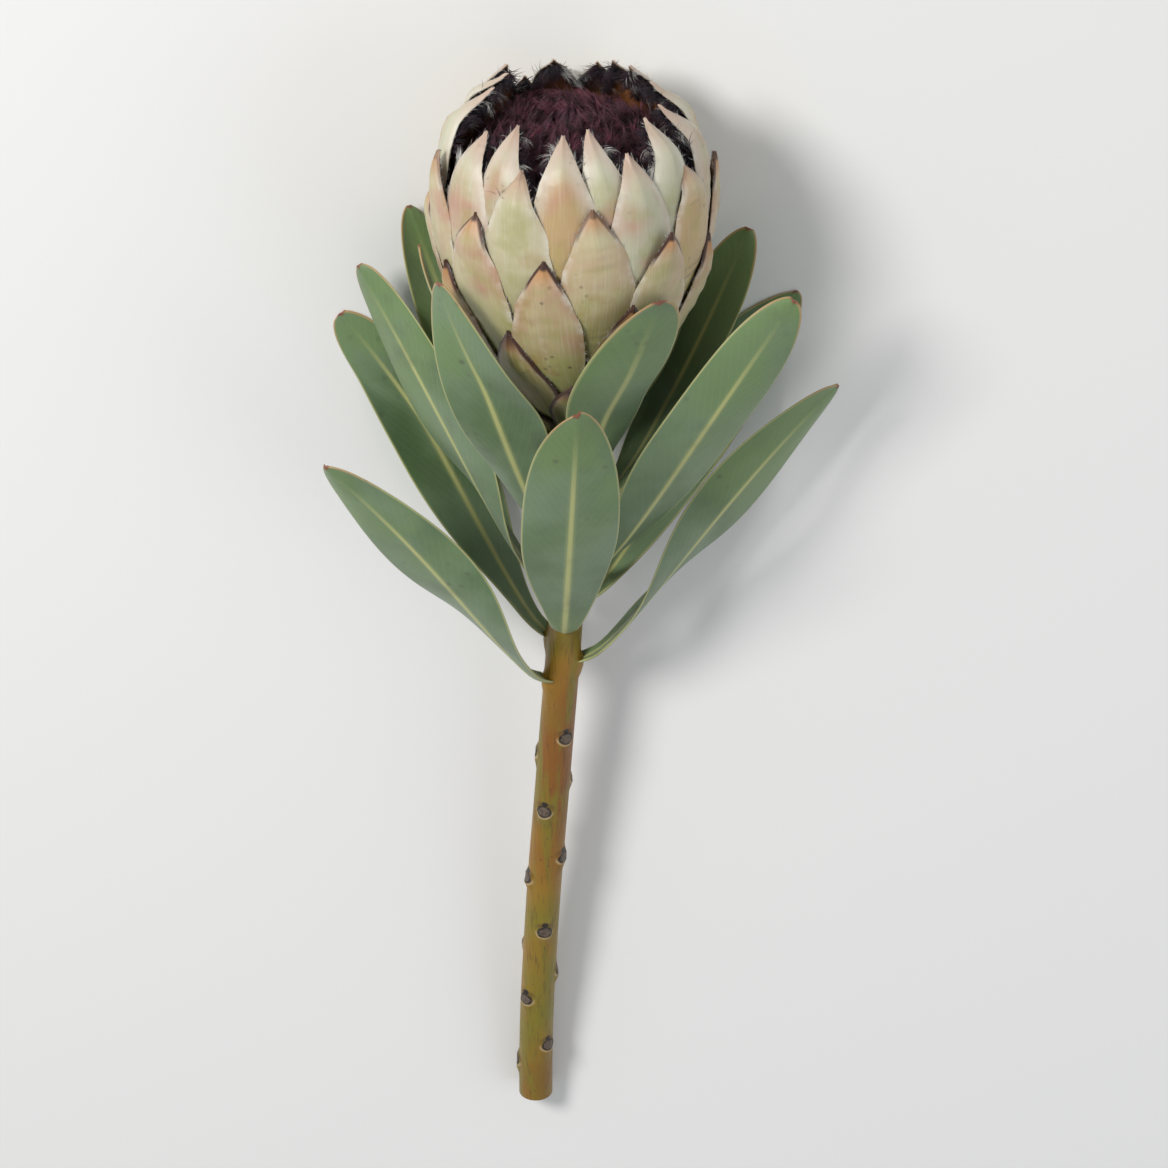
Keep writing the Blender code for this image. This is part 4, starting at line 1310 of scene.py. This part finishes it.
def make_beard(drawn):
    chance = random.Random(BEARD_SEED)
    edges, tips, silk, wisps = [], [], [], []
    for bract in drawn:
        if bract.number >= TUFT_FIRST_BRACT:
            edge_tufts(bract, chance, edges)
            tip_tufts(bract, chance, tips)
            white_wisps(bract, chance, wisps)
        elif bract.number >= LASH_FIRST_BRACT:
            short_lashes(bract, chance, tips)
        if bract.number >= LASH_FIRST_BRACT:
            edge_silk(bract, chance, silk)
    black = wool_material("black_beard", BEARD_PURPLE, BEARD_BLACK, 0.05)
    white = wool_material("white_silk", SILK_WHITE, SILK_SHADED_GREY, 0.2)
    hair_mesh("beard_of_edges", edges, TUFT_SEGMENTS, "flower_wool", black)
    hair_mesh("beard_of_tips", tips, TUFT_SEGMENTS, "flower_wool", black)
    hair_mesh("silk_fringe", silk, SILK_SEGMENTS, "bract", white)
    hair_mesh("silk_wisps", wisps, TUFT_SEGMENTS, "bract", white)


make_beard(bracts_drawn)


# Leaves. Thick waxy blades in a spiral up the top of the stem, each clasping it with a narrow base. A pale
# midrib stands out on both faces, faint veins leave it at a slant, and the edge is a thin pale line that
# turns orange near the leaf's end and red at its horny tip.

LEAF_SEED = 24
LEAF_LENGTHS = ((0.0, 0.132), (0.25, 0.144), (0.55, 0.130), (0.80, 0.104), (1.0, 0.082))
LEAF_WIDTHS = ((0.0, 0.031), (0.30, 0.034), (0.60, 0.031), (0.85, 0.025), (1.0, 0.019))
LEAF_LENGTH_PLAY = 0.05
LEAF_WIDEST_AT = 0.52
LEAF_WIDENING = 0.75
LEAF_BLUNTNESS = (2.4, 0.55)
LEAF_BASE_WIDTH = 0.0075
LEAF_TIP_WIDTH = 0.0024
LEAF_BASE_THICKNESS = 0.0020
LEAF_THICKNESS = 0.0010
LEAF_EDGE_THICKNESS = 0.00045
LEAF_RIB_THICKNESS = 0.00075
LEAF_RIB_WIDTH = 0.07
LEAF_RIB_FADE = 0.8
LEAF_THINNED_AT = 0.25
LEAF_BASE_SPREAD = math.radians(52.0)
LEAF_OPENING_SHARE = 0.10
LEAF_SPREADS = ((0.0, math.radians(34.0)), (0.5, math.radians(26.0)), (1.0, math.radians(30.0)))
LEAF_SPREAD_PLAY = math.radians(4.0)
LEAF_RECURVE = ((0.0, math.radians(14.0)), (0.5, math.radians(3.0)), (1.0, math.radians(-22.0)))
LEAF_DROOP = 0.40
LEAF_SETTLE = 1.0
LEAF_SETTLED_AT = 0.85
LEAF_DRIFT_PLAY = 0.10
LEAF_TWIST_PLAY = 0.25
LEAF_CUP = 0.14
LEAF_WAVE = 0.0016
LEAF_WAVES = 9.0
LEAF_WAVE_SKEW = 1.3
LEAF_WAVE_FULL_AT = 0.30
LEAF_HEAD_CLEARANCE = 0.0045
LEAF_LAYER_STEP = 0.0009
LEAF_STEPS = 40
LEAF_COLUMNS = (-1.0, -0.94, -0.76, -0.50, -0.26, -0.08, 0.0, 0.08, 0.26, 0.50, 0.76, 0.94, 1.0)
LEAF_ROWS = 38
LEAF_ROW_CROWDING = 1.7
LEAF_CLASP = 0.06
LEAF_ROOT_DEPTH = 0.0014
LEAF_SHELL = LEAF_BASE_THICKNESS * 1.5
LEAF_PATTERN_STEP = 0.071
SOFT_CONTACT = 0.0015

LEAF_GREEN = (0.098, 0.166, 0.070, 1.0)
LEAF_BLUE = (0.174, 0.256, 0.145, 1.0)
LEAF_FRESH = (0.220, 0.330, 0.100, 1.0)
LEAF_RUBBED = (0.165, 0.265, 0.088, 1.0)
LEAF_RIB = (0.490, 0.500, 0.195, 1.0)
LEAF_EDGE_PALE = (0.480, 0.460, 0.200, 1.0)
LEAF_EDGE = (0.440, 0.260, 0.120, 1.0)
LEAF_TIP_RED = (0.230, 0.050, 0.030, 1.0)
LEAF_SMUDGE = (0.065, 0.070, 0.055, 1.0)


def at_least(value, floor):
    """value where it is above floor, and floor where it is below, with a soft bend between."""
    above = (value - floor) / SOFT_CONTACT
    return floor + SOFT_CONTACT * (max(above, 0.0) + math.log1p(math.exp(-abs(above))))


def leaf_half_width(share, along):
    """Half width from the narrow clasping base to the blunt tip."""
    widest = curve_through(LEAF_WIDTHS, share)
    opened = ramp(along, 0.0, LEAF_WIDEST_AT) ** LEAF_WIDENING
    to_tip = max((along - LEAF_WIDEST_AT) / (1 - LEAF_WIDEST_AT), 0.0)
    fullness, roundness = LEAF_BLUNTNESS
    rounded = (1 - to_tip**fullness) ** roundness
    return max(part_way(LEAF_BASE_WIDTH, widest, opened) * rounded, LEAF_TIP_WIDTH) / 2


def clear_of_head(point, number):
    """The point, moved away from the head's axis where it would touch the bracts or a leaf above it."""
    height = (point - HEAD_BASE).dot(HEAD_AXIS)
    if not 0 <= height <= HEAD_OUTLINE[-1][0]:
        return point
    on_axis = HEAD_BASE + HEAD_AXIS * height
    away = point - on_axis
    layer = LEAF_LAYER_STEP * (LEAVES - 1 - number)
    reach = at_least(away.length, outline(height) + LEAF_HEAD_CLEARANCE + layer)
    return on_axis + away.normalized() * reach


def leaf_frames(number, chance):
    """(middle, across, normal) at each step from the base of a leaf to its tip, and the leaf's length."""
    share = number / (LEAVES - 1)
    length = curve_through(LEAF_LENGTHS, share) * (1 + chance.uniform(-1, 1) * LEAF_LENGTH_PLAY)
    azimuth = leaf_azimuth(number)
    drift = chance.uniform(-1, 1) * LEAF_DRIFT_PLAY
    twist = chance.uniform(-1, 1) * LEAF_TWIST_PLAY
    spread = curve_through(LEAF_SPREADS, share) + chance.uniform(-1, 1) * LEAF_SPREAD_PLAY
    recurve = curve_through(LEAF_RECURVE, share)
    start, along_stem, up, right = axis_at(leaf_foot(number))
    reach = stem_radius(leaf_foot(number)) + STEM_GAP + LEAF_BASE_THICKNESS / 2 * math.cos(LEAF_BASE_SPREAD)
    middle = start + (up * math.cos(azimuth) + right * math.sin(azimuth)) * reach
    settled_side = math.copysign(1.0, math.cos(azimuth))
    frames = []
    for step in range(LEAF_STEPS + 1):
        along = step / LEAF_STEPS
        turn = azimuth + drift * along
        outwards = up * math.cos(turn) + right * math.sin(turn)
        opened = 1 - math.exp(-along / LEAF_OPENING_SHARE)
        angle = part_way(LEAF_BASE_SPREAD, spread, opened) + recurve * along * along
        forwards = along_stem * math.cos(angle) + outwards * math.sin(angle)
        forwards = (forwards - Vector((0.0, 0.0, LEAF_DROOP * along))).normalized()
        middle = middle + forwards * length / LEAF_STEPS * (step > 0)
        settled = settled_side * LEAF_SETTLE * ramp(along, 0.0, LEAF_SETTLED_AT)
        towards = outwards + Vector((0.0, 0.0, settled))
        back = (towards - forwards * towards.dot(forwards)).normalized()
        flat = back.cross(forwards)
        roll = twist * along
        across = flat * math.cos(roll) + back * math.sin(roll)
        frames.append((middle, across, forwards.cross(across)))
    return frames, length


def leaf_thickness(across, along):
    blade = part_way(LEAF_EDGE_THICKNESS, LEAF_THICKNESS, 1 - across**4)
    rib = LEAF_RIB_THICKNESS * math.exp(-((across / LEAF_RIB_WIDTH) ** 2)) * (1 - LEAF_RIB_FADE * along)
    base = (LEAF_BASE_THICKNESS - LEAF_THICKNESS) * (1 - across**2 / 2)
    base *= 1 - ramp(along, 0.0, LEAF_THINNED_AT)
    return min(blade + rib, LEAF_BASE_THICKNESS) + base * 0.5


def make_leaf(number, chance, material):
    share = number / (LEAVES - 1)
    frames, length = leaf_frames(number, chance)
    wave_phase = chance.uniform(0, 2 * math.pi)
    stem_round = stem_radius(leaf_foot(number))
    name = f"leaf_{number + 1:02d}"
    blade = grid_sheet(name + "_blade", len(LEAF_COLUMNS) - 1, LEAF_ROWS)
    place, kind, shares = [], [], []
    for vertex in blade.data.vertices:
        across = LEAF_COLUMNS[round((vertex.co.x + 1) / 2 * (len(LEAF_COLUMNS) - 1))]
        along = 1 - (1 - (vertex.co.y + 1) / 2) ** LEAF_ROW_CROWDING
        below = min(int(along * LEAF_STEPS), LEAF_STEPS - 1)
        within = along * LEAF_STEPS - below
        middle, sideways, normal = (a.lerp(b, within) for a, b in zip(frames[below], frames[below + 1]))
        half_width = leaf_half_width(share, along)
        wave = math.sin(LEAF_WAVES * along + wave_phase + LEAF_WAVE_SKEW * across)
        wave *= LEAF_WAVE * ramp(along, 0.0, LEAF_WAVE_FULL_AT)
        lift = (wave - LEAF_CUP * half_width) * across * across
        clasp = 1 - ramp(along, 0.0, LEAF_CLASP)
        lift -= clasp * (half_width * across) ** 2 / 2 / stem_round
        point = clear_of_head(middle + sideways * half_width * across + normal * lift, number)
        point.z = at_least(point.z, LEAF_THICKNESS / 2)
        if along < 1e-6:
            point -= normal * LEAF_ROOT_DEPTH
        vertex.co = point
        place.append((across * half_width, along * length, number * LEAF_PATTERN_STEP))
        kind.append((share, (1 - abs(across)) * half_width, (1 - along) * length))
        shares.append(leaf_thickness(across, along) / LEAF_SHELL)
    vector_attribute(blade, "leaf_place", place)
    vector_attribute(blade, "leaf_kind", kind)
    thicken(blade, LEAF_SHELL, shares)
    smooth = blade.modifiers.new("smooth", "SUBSURF")
    smooth.levels = smooth.render_levels = 1
    bpy.ops.object.modifier_apply(modifier=smooth.name)
    rest_on_surface(blade)
    finished(blade, "leaf", material, stands_for=[name])


def leaf_material():
    """Waxy blade. Its lines lie at distances from the midrib, the edge and the tip, in metres."""
    material, tree, shader = new_material(
        "leaf_wax", roughness=0.45, subsurface_weight=0.06, sheen_weight=0.10, sheen_roughness=0.5
    )
    shader.inputs["Subsurface Radius"].default_value = (0.002, 0.004, 0.001)
    where = object_place(tree)
    width, run, _, place = attribute_parts(tree, "leaf_place")
    _, edge, from_tip, _ = attribute_parts(tree, "leaf_kind")
    off_rib = calc(tree, "ABSOLUTE", width)
    off_tip = calc(tree, "ADD", from_tip, times(tree, off_rib, 0.8))
    fresh = effect(tree, patches, Vector=place, Scale=13.0, Low=0.50, High=0.70)
    rubbed = effect(tree, patches, Vector=place, Scale=24.0, Low=0.38, High=0.56)
    slant = calc(tree, "SUBTRACT", run, times(tree, off_rib, 1.9))
    waver = effect(tree, fibres, Vector=place, Scale=90.0, Stretch=0.5)
    phase = calc(tree, "ADD", times(tree, slant, 1150.0), times(tree, waver, 3.2))
    crests = between(tree, calc(tree, "SINE", phase), 0.55, 1.0)
    veins = times(tree, crests, (edge, 0.0005, 0.004))
    pores = effect(tree, fibres, Vector=place, Scale=1700.0, Stretch=0.8)
    colour = painted(
        tree, LEAF_GREEN,
        (LEAF_BLUE, effect(tree, patches, Vector=place, Scale=34.0, Low=0.28, High=0.66)),
        (LEAF_FRESH, fresh, 0.30),
        (LEAF_FRESH, (run, 0.030, 0.004), 0.45),
        (LEAF_RUBBED, (from_tip, 0.085, 0.035), rubbed, 0.60),
        (LEAF_RIB, veins, 0.04),
        (LEAF_GREEN, (pores, 0.5, 0.8), 0.35),
        (LEAF_RIB, (off_rib, 0.0020, 0.0004), (from_tip, 0.010, 0.080), 0.40),
        (LEAF_RIB, (off_rib, 0.0010, 0.0004), (from_tip, 0.002, 0.050), 0.90),
        (LEAF_EDGE_PALE, (edge, 0.0007, 0.0003), 0.70),
        (LEAF_EDGE, (edge, 0.0009, 0.0003), (from_tip, 0.022, 0.003), 0.75),
        (LEAF_TIP_RED, (off_tip, 0.0021, 0.0007), 0.85),
        (LEAF_SMUDGE, effect(tree, patches, Vector=where, Scale=52.0, Low=0.58, High=0.86), 0.5),
        (LEAF_SMUDGE, effect(tree, spots, Vector=where, Scale=170.0, Size=0.30), 0.6),
    )
    relief = calc(tree, "ADD", times(tree, veins, 0.12), times(tree, pores, 0.4))
    roughness = calc(tree, "MULTIPLY_ADD", pores, 0.25, 0.33)
    finish_shader(tree, shader, colour, roughness, relief, 0.0002)
    return material


leaf_wax = leaf_material()
leaf_chance = random.Random(LEAF_SEED)
for leaf_number in range(LEAVES):
    make_leaf(leaf_number, leaf_chance, leaf_wax)


# Surroundings: a plain pale floor, soft studio light, and the camera that looks down on the bloom at the
# angle of the photograph, with the head at the top.

FLOOR_SIZE = 6.0
FLOOR_COLOUR = (0.86, 0.86, 0.85, 1.0)
CAMERA_FROM = Vector((0.0, 0.426, 0.905)).normalized()
CAMERA_DISTANCE = 1.90
CAMERA_LENS = 166.0
CAMERA_AIM_SHIFT = Vector((0.0, 0.011, -0.030))
LIGHTS = (
    ("key", Vector((-1.0, 0.8, 1.35)), 0.60, 25.0, (1.0, 0.985, 0.96)),
    ("fill", Vector((1.2, -0.4, 1.0)), 1.2, 4.0, (0.96, 0.98, 1.0)),
)
WORLD_COLOUR = (0.95, 0.97, 1.0, 1.0)
WORLD_STRENGTH = 0.41


def looking(place, target, upwards):
    """The turn and place of a camera or light that looks at target."""
    look = (target - place).normalized()
    up = (upwards - look * look.dot(upwards)).normalized()
    matrix = Matrix((look.cross(up), up, -look)).transposed().to_4x4()
    matrix.translation = place
    return matrix


bpy.ops.object.select_all(action="DESELECT")
bpy.ops.mesh.primitive_plane_add(size=FLOOR_SIZE)
floor = bpy.context.object
floor.name = "floor"
floor_material, _, floor_shader = new_material("floor_paper", roughness=0.7)
floor_shader.inputs["Base Color"].default_value = FLOOR_COLOUR
floor.data.materials.append(floor_material)

aim = (cad_box[0] + cad_box[1]) / 2 + CAMERA_AIM_SHIFT
for light_name, light_place, light_size, light_power, light_colour in LIGHTS:
    light_data = bpy.data.lights.new(light_name, "AREA")
    light_data.shape = "DISK"
    light_data.size = light_size
    light_data.energy = light_power
    light_data.color = light_colour
    light = bpy.data.objects.new(light_name, light_data)
    bpy.context.scene.collection.objects.link(light)
    light.matrix_world = looking(light_place, aim, Vector((0.0, 1.0, 0.0)))

world = bpy.data.worlds.new("studio")
bpy.context.scene.world = world
world.use_nodes = True
world.node_tree.nodes["Background"].inputs["Color"].default_value = WORLD_COLOUR
world.node_tree.nodes["Background"].inputs["Strength"].default_value = WORLD_STRENGTH
bpy.context.scene.view_settings.view_transform = "Standard"

camera = bpy.data.objects.new("camera", bpy.data.cameras.new("camera"))
bpy.context.scene.collection.objects.link(camera)
camera.data.lens = CAMERA_LENS
camera.matrix_world = looking(aim + CAMERA_FROM * CAMERA_DISTANCE, aim, Vector((0.0, 1.0, 0.0)))
bpy.context.scene.camera = camera
